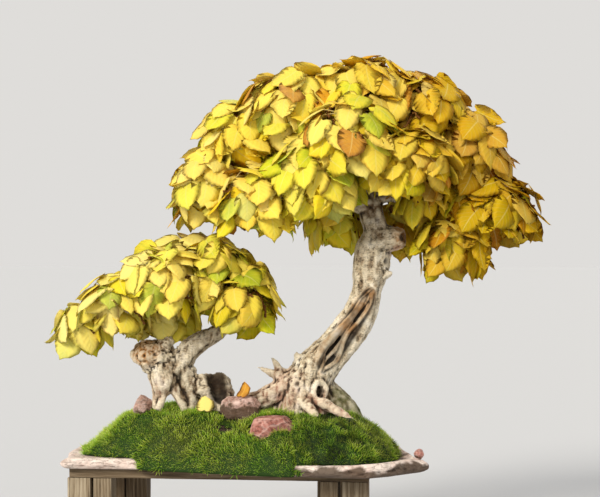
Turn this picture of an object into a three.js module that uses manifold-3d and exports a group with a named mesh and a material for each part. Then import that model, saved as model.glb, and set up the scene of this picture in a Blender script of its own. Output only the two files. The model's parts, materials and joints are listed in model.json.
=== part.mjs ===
// Mulberry bonsai on a stone slab and a wooden stand. Millimetres, +Z up.
// The tree, the ground and the slab are laid out looking from the front (x right, y away), and
// the whole of them is turned a little on the stand. The stand's own sides are square to X and Y.
import * as THREE from 'three';
import Module from 'manifold-3d';

const wasm = await Module();
wasm.setup();

const TURN = THREE.MathUtils.degToRad(6.3);
const GAP = 0.35;
const FINE = 0.15;
const DOWN = new THREE.Vector3(0, 0, -1);

// Stand
const STAND_HEIGHT = 150;
const BOARD = { left: -333.7, right: 108.5, front: -80, back: 100, thick: 14 };
const POST_DEPTH = 36;
const FRONT_POSTS = [[-336.7, -302], [-298, -270.3], [37.5, 64.1], [69.9, 107.6]];
const BACK_POSTS = [[-311.7, -281.8], [-280, -247.3], [19.5, 50.5], [52.5, 84]];
const POST_SETBACK = 1.5;

// Slab: its outline from above, its thickness inside and the height of its rim
const SLAB_OUTLINE = [
  [-352, -57], [-318, -60], [-280, -61], [-238, -65], [-196, -76], [-150, -93], [-100, -113],
  [-50, -130], [0, -144], [50, -158], [98, -164], [136, -142], [166, -117], [184, -94],
  [173, -56], [163, -10], [152, 35], [140, 74], [112, 124], [60, 156], [0, 172], [-70, 184],
  [-150, 193], [-230, 190], [-300, 182], [-343, 160], [-350, 95], [-353, 40], [-351, -12],
];
const SLAB_THICK = 16;
const SLAB_RIM = { start: -20, end: 60, rise: 8 };

// Ground: outline of the moss from above and the height of its ridge over the board
const MOSS_OUTLINE = [
  [-322, -25], [-296, -44], [-246, -60], [-228, -80], [-190, -93], [-120, -119],
  [-50, -143], [-8, -152], [22, -134], [60, -147], [95, -149], [136, -108],
  [150, -45], [144, 16], [122, 84], [65, 134], [-20, 154],
  [-120, 166], [-215, 168], [-290, 156], [-328, 118], [-333, 45],
];
const MOUND_CENTRE = [-92, 14];
const MOSS_THICK = 7;
const RIDGE = [
  [-336, 22], [-320, 36], [-303, 50], [-276, 74], [-250, 87], [-227, 93], [-190, 90],
  [-140, 83], [-60, 82], [20, 84], [66, 86], [100, 86], [120, 90], [136, 92], [152, 50],
];
const MOUND_RINGS = [1, 0.92, 0.72, 0.4];
const SOIL_RINGS = [0.9, 0.7, 0.36];
const MAT_SPLIT = [[-2, -170], [-14, -100], [-4, -40], [-16, 50], [-8, 190]];

// Rocks: centre, half sizes, turn about the vertical, seed
const ROCKS = [
  { name: 'front rock', at: [-40, -76, 205], half: [37, 24, 25], turn: 0.3, seed: 11, colour: 0xa8675a },
  { name: 'left rock', at: [-236, -14, 241], half: [17, 14, 15], turn: 0.9, seed: 23, colour: 0xa39078 },
  { name: 'flat rock', at: [-88, -34, 236], half: [31, 17, 20], turn: -0.2, seed: 37, colour: 0xb08d7c },
  { name: 'slab tip rock', at: [172, -92, 190], half: [9, 7, 8], turn: 0.5, seed: 41, colour: 0xb4604c },
];

// The wood: limbs as points with a radius, from the root up or from the parent out
const TRUNK = [
  [2, 4, 203, 52], [4, 2, 225, 47], [8, 0, 248, 41], [12, 0, 270, 36], [22, 0, 291, 31.5],
  [37, 0, 308, 28.5], [52, 0, 324, 26.5], [66, 0, 340, 26], [80, 0, 358, 25.5],
  [91, 0, 377, 24], [97, 0, 396, 22.5], [101, 0, 414, 22], [104, 0, 434, 25.5],
  [106, 0, 456, 26.5], [108, 0, 472, 26.5], [112, 0, 486, 22], [113.5, 0, 502, 18.5],
  [109, 0, 522, 17.5], [103, 0, 545, 17], [90, 2, 570, 13], [79, 4, 600, 11],
  [75, 5, 634, 9], [79, 5, 652, 7],
];
const ROOTS = [
  [[-2, -4, 278, 22], [-28, -9, 263, 17], [-60, -13, 247, 14], [-92, -15, 241, 12], [-122, -12, 238, 10]],
  [[10, -16, 252, 11], [24, -30, 241, 8], [42, -40, 228, 6.5], [66, -46, 215, 6], [84, -50, 203, 5]],
  [[0, -24, 248, 9], [10, -42, 232, 6.5], [22, -54, 216, 5.5], [30, -62, 204, 4.5]],
  [[24, 4, 268, 22], [50, 2, 249, 18], [72, 0, 233, 14], [88, 0, 216, 9]],
  [[0, 16, 248, 28], [-20, 42, 228, 18], [-38, 62, 210, 10]],
  [[16, 16, 248, 25], [44, 42, 228, 15], [66, 58, 210, 9]],
];
const DEADWOOD = [
  [[-6, -4, 277, 15], [-26, -8, 281, 9], [-46, -10, 289, 4.6], [-63, -12, 297, 1.2]],
  [[-22, -6, 280, 7], [-34, -6, 297, 4.5], [-42, -6, 310, 2]],
  [[16, -6, 290, 13], [1, -9, 305, 8], [-7, -10, 317, 3]],
  [[114, -6, 431, 9], [128, -8, 434, 6], [138, -9, 437, 3]],
  [[112, -2, 486, 22], [134, -5, 488, 19], [149, -7, 489, 15], [157, -9, 490, 10]],
  [[103, -4, 540, 15], [88, -8, 538, 12], [77, -10, 541, 6]],
];
const SMALL_TRUNK = [
  [[-207, -8, 236, 13], [-205, -10, 252, 12.5], [-202, -12, 270, 15.5], [-202, -11, 288, 17], [-200, -9, 304, 18]],
  [[-190, -8, 300, 15], [-212, -8, 308, 23], [-230, -9, 314, 22], [-243, -10, 313, 13], [-252, -11, 310, 4]],
  [[-212, -8, 312, 18], [-202, -7, 327, 13], [-193, -7, 338, 5]],
  [[-197, -17, 268, 7], [-204, -22, 250, 4.6], [-211, -24, 233, 4.6]],
  [[-190, -12, 268, 8], [-180, -19, 250, 6], [-171, -21, 233, 5.5]],
  [[-166, -3, 234, 15], [-165, -3, 258, 14], [-170, -5, 282, 15], [-181, -7, 303, 15]],
  [[-123, 0, 232, 27], [-124, 0, 256, 25], [-127, 0, 276, 21], [-137, -2, 288, 13]],
  [[-168, -3, 270, 13], [-146, -2, 266, 17], [-124, 0, 262, 19]],
  [[-190, -8, 292, 17], [-174, -6, 309, 16], [-156, -5, 330, 15], [-127, -4, 346, 11.5],
    [-106, -3, 361, 9.5], [-91, -3, 376, 8.5], [-90, -1, 396, 7]],
];
const HOLLOWS = [
  [[111, -30, 417, 2], [104, -27, 407, 8], [98, -24, 394, 12], [78, -27, 365, 15], [59, -27, 338, 16.5],
    [44, -29, 313, 15.5], [34, -33, 296, 8], [30, -36, 288, 2]],
  [[-117, -30, 246, 5], [-121, -20, 258, 12], [-125, -10, 275, 14], [-128, -4, 296, 16]],
  [[150, -16, 489, 7], [158, -12, 490, 9], [172, -10, 491, 12]],
];
const KNOT = { at: [30, -35, 262], faces: [0.42, -0.9, 0.08], ring: 10.5, bead: 4, hole: 6, deep: 16 };

const BRANCHES = [
  [[92, 0, 564, 11], [60, -14, 572, 8.5], [20, -24, 577, 7.5], [-35, -30, 580, 6], [-98, -25, 580, 4.2]],
  [[80, 4, 598, 10], [40, 4, 620, 8], [0, 2, 634, 7], [-58, 0, 639, 4.2]],
  [[76, 5, 636, 8.5], [48, 0, 656, 6.5], [24, -3, 664, 4.5]],
  [[80, 3, 606, 10.5], [108, -2, 620, 9], [138, -6, 627, 8], [196, -8, 637, 6.5], [230, -8, 634, 4.5]],
  [[103, 0, 545, 13], [129, -6, 552, 10], [150, -10, 548, 8.5], [177, -12, 534, 7.5], [225, -14, 520, 6], [262, -14, 518, 4]],
  [[78, 2, 602, 9], [78, -34, 606, 7], [74, -74, 610, 4.5]],
  [[78, 8, 600, 9], [78, 50, 618, 7], [68, 102, 642, 4.5]],
  [[-91, -3, 372, 9], [-118, -6, 393, 7], [-160, -10, 402, 6], [-215, -16, 398, 5], [-278, -14, 374, 4], [-306, -12, 364, 3]],
  [[-90, -1, 394, 7.5], [-106, -7, 416, 4.8]],
];
// Crowns of leaves: centre, half sizes, and the point on the wood that feeds each of them
const CROWNS = [
  { name: 'top centre', at: [90, 0, 686], half: [88, 78, 72], from: [79, 5, 652] },
  { name: 'top left', at: [-10, -10, 672], half: [80, 68, 64], from: [24, -3, 664] },
  { name: 'left up', at: [-87, 0, 632], half: [56, 58, 58], from: [-58, 0, 639] },
  { name: 'left low', at: [-134, -15, 557], half: [55, 56, 59], from: [-98, -25, 580] },
  { name: 'left middle', at: [-62, -54, 541], half: [60, 50, 50], from: [-30, -29, 580] },
  { name: 'front left', at: [22, -80, 576], half: [62, 54, 62], from: [30, -22, 576] },
  { name: 'front', at: [72, -100, 622], half: [70, 54, 62], from: [76, -60, 608] },
  { name: 'top right', at: [178, -10, 664], half: [72, 68, 60], from: [140, -6, 627] },
  { name: 'right', at: [248, -10, 614], half: [58, 62, 62], from: [205, -8, 636] },
  { name: 'front right', at: [159, -88, 592], half: [62, 50, 50], from: [124, -4, 624] },
  { name: 'low right', at: [284, -15, 524], half: [74, 58, 52], from: [235, -14, 519] },
  { name: 'right inner', at: [186, -20, 547], half: [44, 44, 36], from: [165, -11, 541] },
  { name: 'low right inner', at: [226, -26, 474], half: [48, 50, 44], from: [190, -13, 530] },
  { name: 'under left', at: [56, 66, 514], half: [44, 46, 44], from: [94, 6, 562] },
  { name: 'under right', at: [146, 58, 500], half: [34, 40, 36], from: [132, -4, 551] },
  { name: 'back left', at: [-63, 108, 628], half: [74, 54, 68], from: [0, 2, 634] },
  { name: 'back top', at: [63, 128, 658], half: [84, 54, 76], from: [74, 75, 630] },
  { name: 'back right', at: [204, 108, 642], half: [74, 54, 68], from: [150, -6, 629] },
  { name: 'back low', at: [0, 98, 572], half: [68, 50, 54], from: [78, 30, 608] },
  { name: 'small left tip', at: [-325, -10, 352], half: [36, 34, 32], from: [-296, -12, 367] },
  { name: 'small left', at: [-265, -30, 388], half: [56, 48, 43], from: [-230, -16, 395] },
  { name: 'small front', at: [-196, -48, 416], half: [58, 48, 52], from: [-175, -12, 402] },
  { name: 'small right', at: [-129, -20, 436], half: [54, 54, 48], from: [-106, -7, 416] },
  { name: 'small low right', at: [-80, -42, 391], half: [50, 44, 48], from: [-92, -2, 385] },
  { name: 'small top', at: [-170, 8, 457], half: [46, 40, 27], from: [-190, -13, 400] },
  { name: 'small back left', at: [-256, 56, 382], half: [56, 44, 44], from: [-200, -14, 399] },
  { name: 'small back right', at: [-140, 66, 414], half: [60, 50, 50], from: [-98, -4, 404] },
  { name: 'small under', at: [-214, 36, 364], half: [44, 34, 26], from: [-170, -11, 402] },
];

// Leaves
const LEAF = { wide: 43, long: 52, thick: 2, stalk: 0.85, root: 0.6, reach: 11, back: 7, droop: 0.13, arch: 0.07 };
const LEAF_SPACING = 45;
const LEAVES_PER_TWIG = 6;
const TWIG_RADIUS = [2.5, 1.8];
const STEM_RADIUS = 3;
const BUD = 1.7;
const CLEAR = 6;
const TURNS = [0, 22, -22, 44, -44, 66, -66];
const LIFTS = [0, 5, -5, 9];
const FALLEN = [
  { name: 'fallen leaf pale', at: [-143, -30], lift: 270, heading: 2.4, wide: 24, long: 30, colour: 0xe9e0a0 },
  { name: 'fallen leaf orange', at: [-80, -38], lift: 290, heading: 0.5, wide: 22, long: 28, colour: 0xd08a3a },
];

// A small repeatable source of numbers from 0 to 1
function numbers(seed) {
  let state = (seed * 2654435 + 12345) % 4294967296;
  const next = () => {
    state = (state * 1664525 + 1013904223) % 4294967296;
    return state / 4294967296;
  };
  next();
  next();
  return next;
}

function vector(p) {
  return new THREE.Vector3(p[0], p[1], p[2]);
}

// A closed body from points and triangles, turned outwards if it came out inside out
function solid(points, faces) {
  let volume = 0;
  for (const [a, b, c] of faces) {
    volume += points[a].dot(new THREE.Vector3().crossVectors(points[b], points[c]));
  }
  const triangles = volume < 0 ? faces.map(([a, b, c]) => [a, c, b]) : faces;
  return new wasm.Manifold(new wasm.Mesh({
    numProp: 3,
    vertProperties: new Float32Array(points.flatMap((p) => [p.x, p.y, p.z])),
    triVerts: new Uint32Array(triangles.flat()),
  }));
}

function join(bodies) {
  let list = bodies;
  while (list.length > 1) {
    const next = [];
    for (let i = 0; i < list.length; i += 2) {
      next.push(i + 1 < list.length ? list[i].add(list[i + 1]) : list[i]);
    }
    list = next;
  }
  return list[0];
}

function largest(body) {
  const parts = body.decompose();
  return parts.reduce((a, b) => (b.volume() > a.volume() ? b : a));
}

function box(min, max) {
  const points = [];
  for (const z of [min[2], max[2]]) {
    for (const y of [min[1], max[1]]) {
      for (const x of [min[0], max[0]]) points.push(new THREE.Vector3(x, y, z));
    }
  }
  const faces = [
    [0, 2, 3], [0, 3, 1], [4, 5, 7], [4, 7, 6], [0, 1, 5], [0, 5, 4],
    [2, 6, 7], [2, 7, 3], [0, 4, 6], [0, 6, 2], [1, 3, 7], [1, 7, 5],
  ];
  return solid(points, faces);
}

// A limb: rings of points round a line of centres, closed at both ends
function sweep(limb, sides, grow = 0, ridge = 0) {
  const centres = limb.map(vector);
  const last = centres.length - 1;
  const tangents = centres.map((c, i) => (
    centres[Math.min(i + 1, last)].clone().sub(centres[Math.max(i - 1, 0)]).normalize()
  ));
  centres[0].addScaledVector(tangents[0], -grow);
  centres[last].addScaledVector(tangents[last], grow);
  let side = new THREE.Vector3(0, -1, 0);
  if (Math.abs(tangents[0].y) > 0.9) side = new THREE.Vector3(0, 0, 1);
  const points = [];
  centres.forEach((centre, i) => {
    side = side.addScaledVector(tangents[i], -side.dot(tangents[i])).normalize();
    const across = new THREE.Vector3().crossVectors(tangents[i], side);
    for (let j = 0; j < sides; j += 1) {
      const angle = (2 * Math.PI * j) / sides;
      const wave = 1 + ridge * (Math.sin(3 * angle + i * 0.7) + 0.7 * Math.sin(5 * angle - i * 0.5));
      const r = limb[i][3] * wave + grow;
      points.push(centre.clone()
        .addScaledVector(side, r * Math.cos(angle))
        .addScaledVector(across, r * Math.sin(angle)));
    }
  });
  const faces = [];
  for (let i = 0; i < last; i += 1) {
    for (let j = 0; j < sides; j += 1) {
      const a = i * sides + j;
      const b = i * sides + ((j + 1) % sides);
      faces.push([a, b, b + sides], [a, b + sides, a + sides]);
    }
  }
  for (let j = 1; j < sides - 1; j += 1) {
    faces.push([0, j + 1, j], [last * sides, last * sides + j, last * sides + j + 1]);
  }
  return solid(points, faces);
}

function ringBody({ at, faces: facing, ring, bead }) {
  const out = vector(facing).normalize();
  const right = new THREE.Vector3().crossVectors(new THREE.Vector3(0, 0, 1), out).normalize();
  const up = new THREE.Vector3().crossVectors(out, right);
  const around = 9;
  const sides = 4;
  const points = [];
  for (let i = 0; i < around; i += 1) {
    const turn = (2 * Math.PI * i) / around;
    const spoke = right.clone().multiplyScalar(Math.cos(turn)).addScaledVector(up, Math.sin(turn));
    for (let j = 0; j < sides; j += 1) {
      const angle = (2 * Math.PI * j) / sides;
      points.push(vector(at)
        .addScaledVector(spoke, ring + bead * Math.cos(angle))
        .addScaledVector(out, bead * Math.sin(angle)));
    }
  }
  const faces = [];
  for (let i = 0; i < around; i += 1) {
    for (let j = 0; j < sides; j += 1) {
      const a = i * sides + j;
      const b = i * sides + ((j + 1) % sides);
      const c = ((i + 1) % around) * sides + j;
      const d = ((i + 1) % around) * sides + ((j + 1) % sides);
      faces.push([a, b, d], [a, d, c]);
    }
  }
  return solid(points, faces);
}

function plug({ at, faces: facing, hole, deep }) {
  const out = vector(facing).normalize();
  const start = vector(at).addScaledVector(out, 9);
  const end = vector(at).addScaledVector(out, -deep);
  return sweep([[...start.toArray(), hole * 1.15], [...vector(at).toArray(), hole], [...end.toArray(), hole * 0.6]], 7);
}

// Limbs of the tree, and how many sides each gets
function limbList() {
  const list = [{ limb: TRUNK, sides: 10, ridge: 0.035 }];
  ROOTS.forEach((limb) => list.push({ limb, sides: limb[0][3] > 14 ? 7 : 5, ridge: 0.05 }));
  DEADWOOD.forEach((limb) => list.push({ limb, sides: limb[0][3] > 14 ? 7 : 5, ridge: 0.05 }));
  SMALL_TRUNK.forEach((limb) => list.push({ limb, sides: limb[0][3] > 10 ? 8 : 5, ridge: 0.06 }));
  BRANCHES.forEach((limb) => list.push({ limb, sides: 5, ridge: 0 }));
  return list;
}

// Where the twigs of a crown part: on the way from the wood to the crown's centre
function hubOf(crown) {
  const centre = vector(crown.at);
  const from = vector(crown.from);
  const away = from.clone().sub(centre);
  const reach = Math.min(...crown.half) * 0.3;
  if (away.length() <= reach) return centre.clone().addScaledVector(away.normalize(), reach * 0.2);
  return centre.addScaledVector(away.normalize(), reach);
}

function ridgeHeight(x) {
  if (x <= RIDGE[0][0]) return RIDGE[0][1];
  for (let i = 1; i < RIDGE.length; i += 1) {
    if (x <= RIDGE[i][0]) {
      const share = (x - RIDGE[i - 1][0]) / (RIDGE[i][0] - RIDGE[i - 1][0]);
      return RIDGE[i - 1][1] + share * (RIDGE[i][1] - RIDGE[i - 1][1]);
    }
  }
  return RIDGE[RIDGE.length - 1][1];
}

// Height of the moss over the board, at a share of the way from the mound's centre to its edge
function mossHeight(x, y, share) {
  const sideways = Math.abs(x - MOUND_CENTRE[0]) / (Math.hypot(x - MOUND_CENTRE[0], y - MOUND_CENTRE[1]) + 1);
  const power = 2.3 + 4 * sideways * sideways;
  const overhang = y < -78 && x < 10 ? 6 : SLAB_THICK + 3;
  const edge = share > 0.97 ? overhang : SLAB_THICK + 3;
  const bumps = 1.6 * Math.sin(x * 0.11 + y * 0.05) * Math.cos(y * 0.09 - x * 0.03);
  return edge + (ridgeHeight(x) - edge) * (1 - share ** power) + bumps * (share < 0.97 ? 1 : 0);
}

// A mound: rings of points from its outline in to its centre, over a flat underside
function mound(outline, rings, drop, floor, grow = 0) {
  const [cx, cy] = MOUND_CENTRE;
  const count = outline.length;
  const points = [];
  rings.forEach((share) => {
    outline.forEach(([x, y]) => {
      const px = cx + (x - cx) * share;
      const py = cy + (y - cy) * share;
      const away = new THREE.Vector2(x - cx, y - cy).setLength(grow);
      points.push(new THREE.Vector3(px + away.x, py + away.y, STAND_HEIGHT + mossHeight(px, py, share) - drop + grow));
    });
  });
  const top = points.length;
  points.push(new THREE.Vector3(cx, cy, STAND_HEIGHT + mossHeight(cx, cy, 0) - drop + grow));
  const first = points.length;
  for (let i = 0; i < count; i += 1) {
    points.push(new THREE.Vector3(points[i].x, points[i].y, STAND_HEIGHT + floor));
  }
  const under = points.length;
  points.push(new THREE.Vector3(cx, cy, STAND_HEIGHT + floor));
  const faces = [];
  const lastRing = (rings.length - 1) * count;
  for (let i = 0; i < count; i += 1) {
    const j = (i + 1) % count;
    for (let r = 0; r < rings.length - 1; r += 1) {
      const a = r * count;
      faces.push([a + i, a + j, a + count + j], [a + i, a + count + j, a + count + i]);
    }
    faces.push([lastRing + i, lastRing + j, top]);
    faces.push([first + i, first + j, j], [first + i, j, i]);
    faces.push([under, first + j, first + i]);
  }
  return solid(points, faces);
}

function slabBody(grow) {
  const count = SLAB_OUTLINE.length;
  const rim = ([x, y]) => {
    const rise = THREE.MathUtils.smoothstep(x, SLAB_RIM.start, SLAB_RIM.end) * (y < 80 ? 1 : 0.4);
    return SLAB_THICK + SLAB_RIM.rise * rise * (0.75 + 0.45 * Math.sin(x * 0.085 + 1.2));
  };
  const [cx, cy] = MOUND_CENTRE;
  const ring = (share, height) => SLAB_OUTLINE.map(([x, y], i) => {
    const wave = 2.4 * Math.sin(i * 2.3 + share * 3);
    const away = Math.hypot(x - cx, y - cy);
    const scale = (away * share + (share > 0.95 ? wave + grow : 0)) / away;
    return new THREE.Vector3(cx + (x - cx) * scale, cy + (y - cy) * scale, STAND_HEIGHT + height([x, y], i));
  });
  const rows = [
    ring(0.955, () => -grow),
    ring(0.995, (p, i) => SLAB_THICK * (0.25 + 0.12 * Math.sin(i * 1.7))),
    ring(1.0, (p, i) => rim(p) * (0.68 + 0.1 * Math.sin(i * 2.9))),
    ring(0.965, (p) => rim(p) + grow),
    ring(0.9, () => SLAB_THICK + grow),
  ];
  const points = rows.flat();
  const top = points.length;
  points.push(new THREE.Vector3(cx, cy, STAND_HEIGHT + SLAB_THICK + grow));
  points.push(new THREE.Vector3(cx, cy, STAND_HEIGHT - grow));
  const faces = [];
  for (let i = 0; i < count; i += 1) {
    const j = (i + 1) % count;
    for (let r = 0; r < rows.length - 1; r += 1) {
      const a = r * count;
      faces.push([a + i, a + j, a + count + j], [a + i, a + count + j, a + count + i]);
    }
    const a = (rows.length - 1) * count;
    faces.push([a + i, a + j, top], [j, i, top + 1]);
  }
  return solid(points, faces);
}

function rockBody({ at, half, turn, seed }, grow) {
  const next = numbers(seed);
  const shape = new THREE.IcosahedronGeometry(1, half[0] > 14 ? 1 : 0);
  const place = shape.getAttribute('position');
  const seen = new Map();
  const points = [];
  const faces = [];
  for (let i = 0; i < place.count; i += 3) {
    const face = [0, 1, 2].map((k) => {
      const p = new THREE.Vector3().fromBufferAttribute(place, i + k);
      const key = p.toArray().map((v) => v.toFixed(3)).join();
      if (!seen.has(key)) {
        const boxy = (Math.abs(p.x) ** 4 + Math.abs(p.y) ** 4 + Math.abs(p.z) ** 4) ** -0.25;
        p.multiplyScalar(boxy * (0.86 + 0.2 * next()));
        p.set(p.x * (half[0] + grow), p.y * (half[1] + grow), p.z * (half[2] + grow));
        p.applyAxisAngle(new THREE.Vector3(0, 0, 1), turn).add(vector(at));
        seen.set(key, points.length);
        points.push(p);
      }
      return seen.get(key);
    });
    faces.push(face);
  }
  return solid(points, faces);
}

// The rim of a heart-shaped blade with a pointed tip, then the middle of its two faces
function bladePoints(base, across, along, out, wide, long, swell) {
  const at = (x, y, z) => base.clone()
    .addScaledVector(across, x).addScaledVector(along, y).addScaledVector(out, z);
  const w = wide + swell * 2;
  const l = long + swell * 2;
  const back = -0.09 * long - swell;
  const rise = LEAF.arch * long;
  return [
    at(-0.29 * w, back, -0.02 * l),
    at(-0.5 * w, 0.26 * l, 0.015 * l),
    at(-0.34 * w, 0.64 * l, 0),
    at(0, l, -LEAF.droop * long),
    at(0.34 * w, 0.64 * l, 0),
    at(0.5 * w, 0.26 * l, 0.015 * l),
    at(0.29 * w, back, -0.02 * l),
    at(0, 0.42 * l, rise + LEAF.thick / 2 + swell),
    at(0, 0.42 * l, rise - LEAF.thick / 2 - swell),
  ];
}

// One loose leaf: a stalk and its blade
function leafBody(root, base, across, along, out, wide, long, swell = 0) {
  const stalk = LEAF.stalk + swell * 0.5;
  const foot = LEAF.root + swell * 0.5;
  const run = base.clone().sub(root).normalize();
  const crest = new THREE.Vector3().crossVectors(across, run).normalize();
  const points = [
    root.clone().addScaledVector(across, -foot).addScaledVector(crest, -foot * 0.5),
    root.clone().addScaledVector(across, foot).addScaledVector(crest, -foot * 0.5),
    root.clone().addScaledVector(crest, foot * 0.9),
    base.clone().addScaledVector(across, -stalk),
    base.clone().addScaledVector(across, stalk),
    base.clone().addScaledVector(crest, stalk * 1.4),
    ...bladePoints(base, across, along, out, wide, long, swell),
  ];
  const rim = [3, 6, 7, 8, 9, 10, 11, 12, 4];
  const faces = [[0, 2, 1]];
  for (let i = 0; i < rim.length - 1; i += 1) {
    faces.push([rim[i], rim[i + 1], 13], [rim[i + 1], rim[i], 14]);
  }
  faces.push([4, 5, 13], [5, 3, 13], [3, 4, 14]);
  faces.push([0, 3, 5], [0, 5, 2], [2, 5, 4], [2, 4, 1], [1, 4, 3], [1, 3, 0]);
  return solid(points, faces.map(([a, b, c]) => [a, c, b]));
}

// A spray grows as one closed skin: a face is pushed out into a tube, again and again, and a
// leaf ends it. No face is left inside, so nothing has to be joined afterwards.
function newSpray(ring) {
  return { points: [...ring], faces: [[0, 2, 1]], cap: [0, 1, 2] };
}

function push(spray, cap, ring) {
  const [a, b, c] = cap;
  const [p, q, r] = ring.map((point) => spray.points.push(point) - 1);
  const walls = [[a, b, q], [a, q, p], [b, c, r], [b, r, q], [c, a, p], [c, p, r]];
  spray.faces.push(...walls);
  return { cap: [p, q, r], walls };
}

function normalOf(spray, [a, b, c]) {
  const p = spray.points[a];
  return spray.points[b].clone().sub(p).cross(spray.points[c].clone().sub(p)).normalize();
}

function middleOf(spray, face) {
  return face.reduce((sum, i) => sum.add(spray.points[i]), new THREE.Vector3()).divideScalar(3);
}

// The wall that looks most nearly the given way is taken out, to grow something from it
function bud(spray, walls, way) {
  let best = null;
  walls.forEach((wall) => {
    if (!spray.faces.includes(wall)) return;
    const fit = normalOf(spray, wall).dot(way);
    if (!best || fit > best.fit) best = { wall, fit };
  });
  spray.faces.splice(spray.faces.indexOf(best.wall), 1);
  return best.wall;
}

// The three corners of a ring in the order that lies nearest to those of the face it grows from
function matched(spray, cap, ring) {
  let best = null;
  for (let shift = 0; shift < 3; shift += 1) {
    const turned = [0, 1, 2].map((i) => ring[(i + shift) % 3]);
    const far = turned.reduce((sum, p, i) => sum + p.distanceTo(spray.points[cap[i]]), 0);
    if (!best || far < best.far) best = { far, turned };
  }
  return best.turned;
}

function ringAt(centre, way, side, radius) {
  const flat = side.clone().addScaledVector(way, -side.dot(way)).normalize();
  const across = new THREE.Vector3().crossVectors(way, flat);
  return [0, 1, 2].map((i) => centre.clone()
    .addScaledVector(flat, radius * Math.cos((2 * Math.PI * i) / 3))
    .addScaledVector(across, radius * Math.sin((2 * Math.PI * i) / 3)));
}

function growLeaf(spray, walls, slot, swell) {
  const { base, across, along, wide, long } = slot.pose;
  const run = base.clone().sub(slot.root).normalize();
  const crest = new THREE.Vector3().crossVectors(across, run).normalize();
  const from = bud(spray, walls, run);
  const stalk = LEAF.stalk + swell;
  const start = matched(spray, from, [
    base.clone().addScaledVector(across, -stalk),
    base.clone().addScaledVector(crest, stalk * 1.4),
    base.clone().addScaledVector(across, stalk),
  ]);
  const { cap } = push(spray, from, start);
  const order = [-1, 0, 1].map((k) => cap.find((i) => {
    const x = spray.points[i].clone().sub(base).dot(across);
    return Math.abs(x - k * stalk) < 0.01;
  }));
  const [nearLeft, crown, nearRight] = order;
  const rim = [nearLeft];
  bladePoints(base, across, along, slot.out, wide, long, swell).forEach((p) => rim.push(spray.points.push(p) - 1));
  const under = rim.pop();
  const over = rim.pop();
  rim.push(nearRight);
  for (let i = 0; i < rim.length - 1; i += 1) {
    spray.faces.push([rim[i + 1], rim[i], over], [rim[i], rim[i + 1], under]);
  }
  spray.faces.push([crown, nearRight, over], [nearLeft, crown, over], [nearRight, nearLeft, under]);
}

function growTwig(spray, cap, twig, lead, swell) {
  let side = spray.points[cap[0]].clone().sub(middleOf(spray, cap));
  const line = [middleOf(spray, cap), ...lead, ...twig.line.slice(1)];
  let end = cap;
  for (let i = 1; i < line.length; i += 1) {
    const before = line[i].clone().sub(line[i - 1]).normalize();
    const after = i < line.length - 1 ? line[i + 1].clone().sub(line[i]).normalize() : before;
    const way = before.clone().add(after).normalize();
    const share = i / (line.length - 1);
    const radius = TWIG_RADIUS[0] + (TWIG_RADIUS[1] - TWIG_RADIUS[0]) * share + swell * 2;
    side = side.addScaledVector(way, -side.dot(way)).normalize();
    const slot = twig.served[i - 1 - lead.length];
    if (slot && slot.pose) {
      const first = push(spray, end, matched(spray, end,
        ringAt(line[i].clone().addScaledVector(way, -BUD), way, side, radius)));
      const second = push(spray, first.cap, matched(spray, first.cap,
        ringAt(line[i].clone().addScaledVector(way, BUD), way, side, radius)));
      growLeaf(spray, second.walls, slot, swell);
      end = second.cap;
    } else {
      const next = push(spray, end, matched(spray, end, ringAt(line[i], way, side, radius)));
      end = next.cap;
    }
  }
  spray.faces.push(end);
}

function stemSide(axis) {
  return Math.abs(axis.z) < 0.9 ? new THREE.Vector3(0, 0, 1) : new THREE.Vector3(1, 0, 0);
}

function growSpray(crown, swell = 0) {
  const axis = crown.hub.clone().sub(crown.start).normalize();
  const side = stemSide(axis);
  const thick = STEM_RADIUS + swell * 2;
  const spray = newSpray(ringAt(crown.start, axis, side, thick));
  const room = Math.min(4, crown.start.distanceTo(crown.hub) * 0.4);
  const stem = push(spray, spray.cap, matched(spray, spray.cap,
    ringAt(crown.hub.clone().addScaledVector(axis, -room), axis, side, thick)));
  const knot = push(spray, stem.cap, matched(spray, stem.cap,
    ringAt(crown.hub.clone().addScaledVector(axis, 1), axis, side, thick)));
  const order = [...crown.twigs].sort((a, b) => (
    b.line[1].clone().sub(crown.hub).normalize().dot(axis) - a.line[1].clone().sub(crown.hub).normalize().dot(axis)
  ));
  order.forEach((twig, i) => {
    const way = twig.line[1].clone().sub(crown.hub).normalize();
    if (i === 0) {
      growTwig(spray, knot.cap, twig, [], swell);
      return;
    }
    const from = bud(spray, knot.walls, way);
    const out = normalOf(spray, from);
    const lead = middleOf(spray, from).addScaledVector(out, 4).addScaledVector(way, 4);
    growTwig(spray, from, twig, [lead], swell);
  });
  return solid(spray.points, spray.faces);
}

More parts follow.
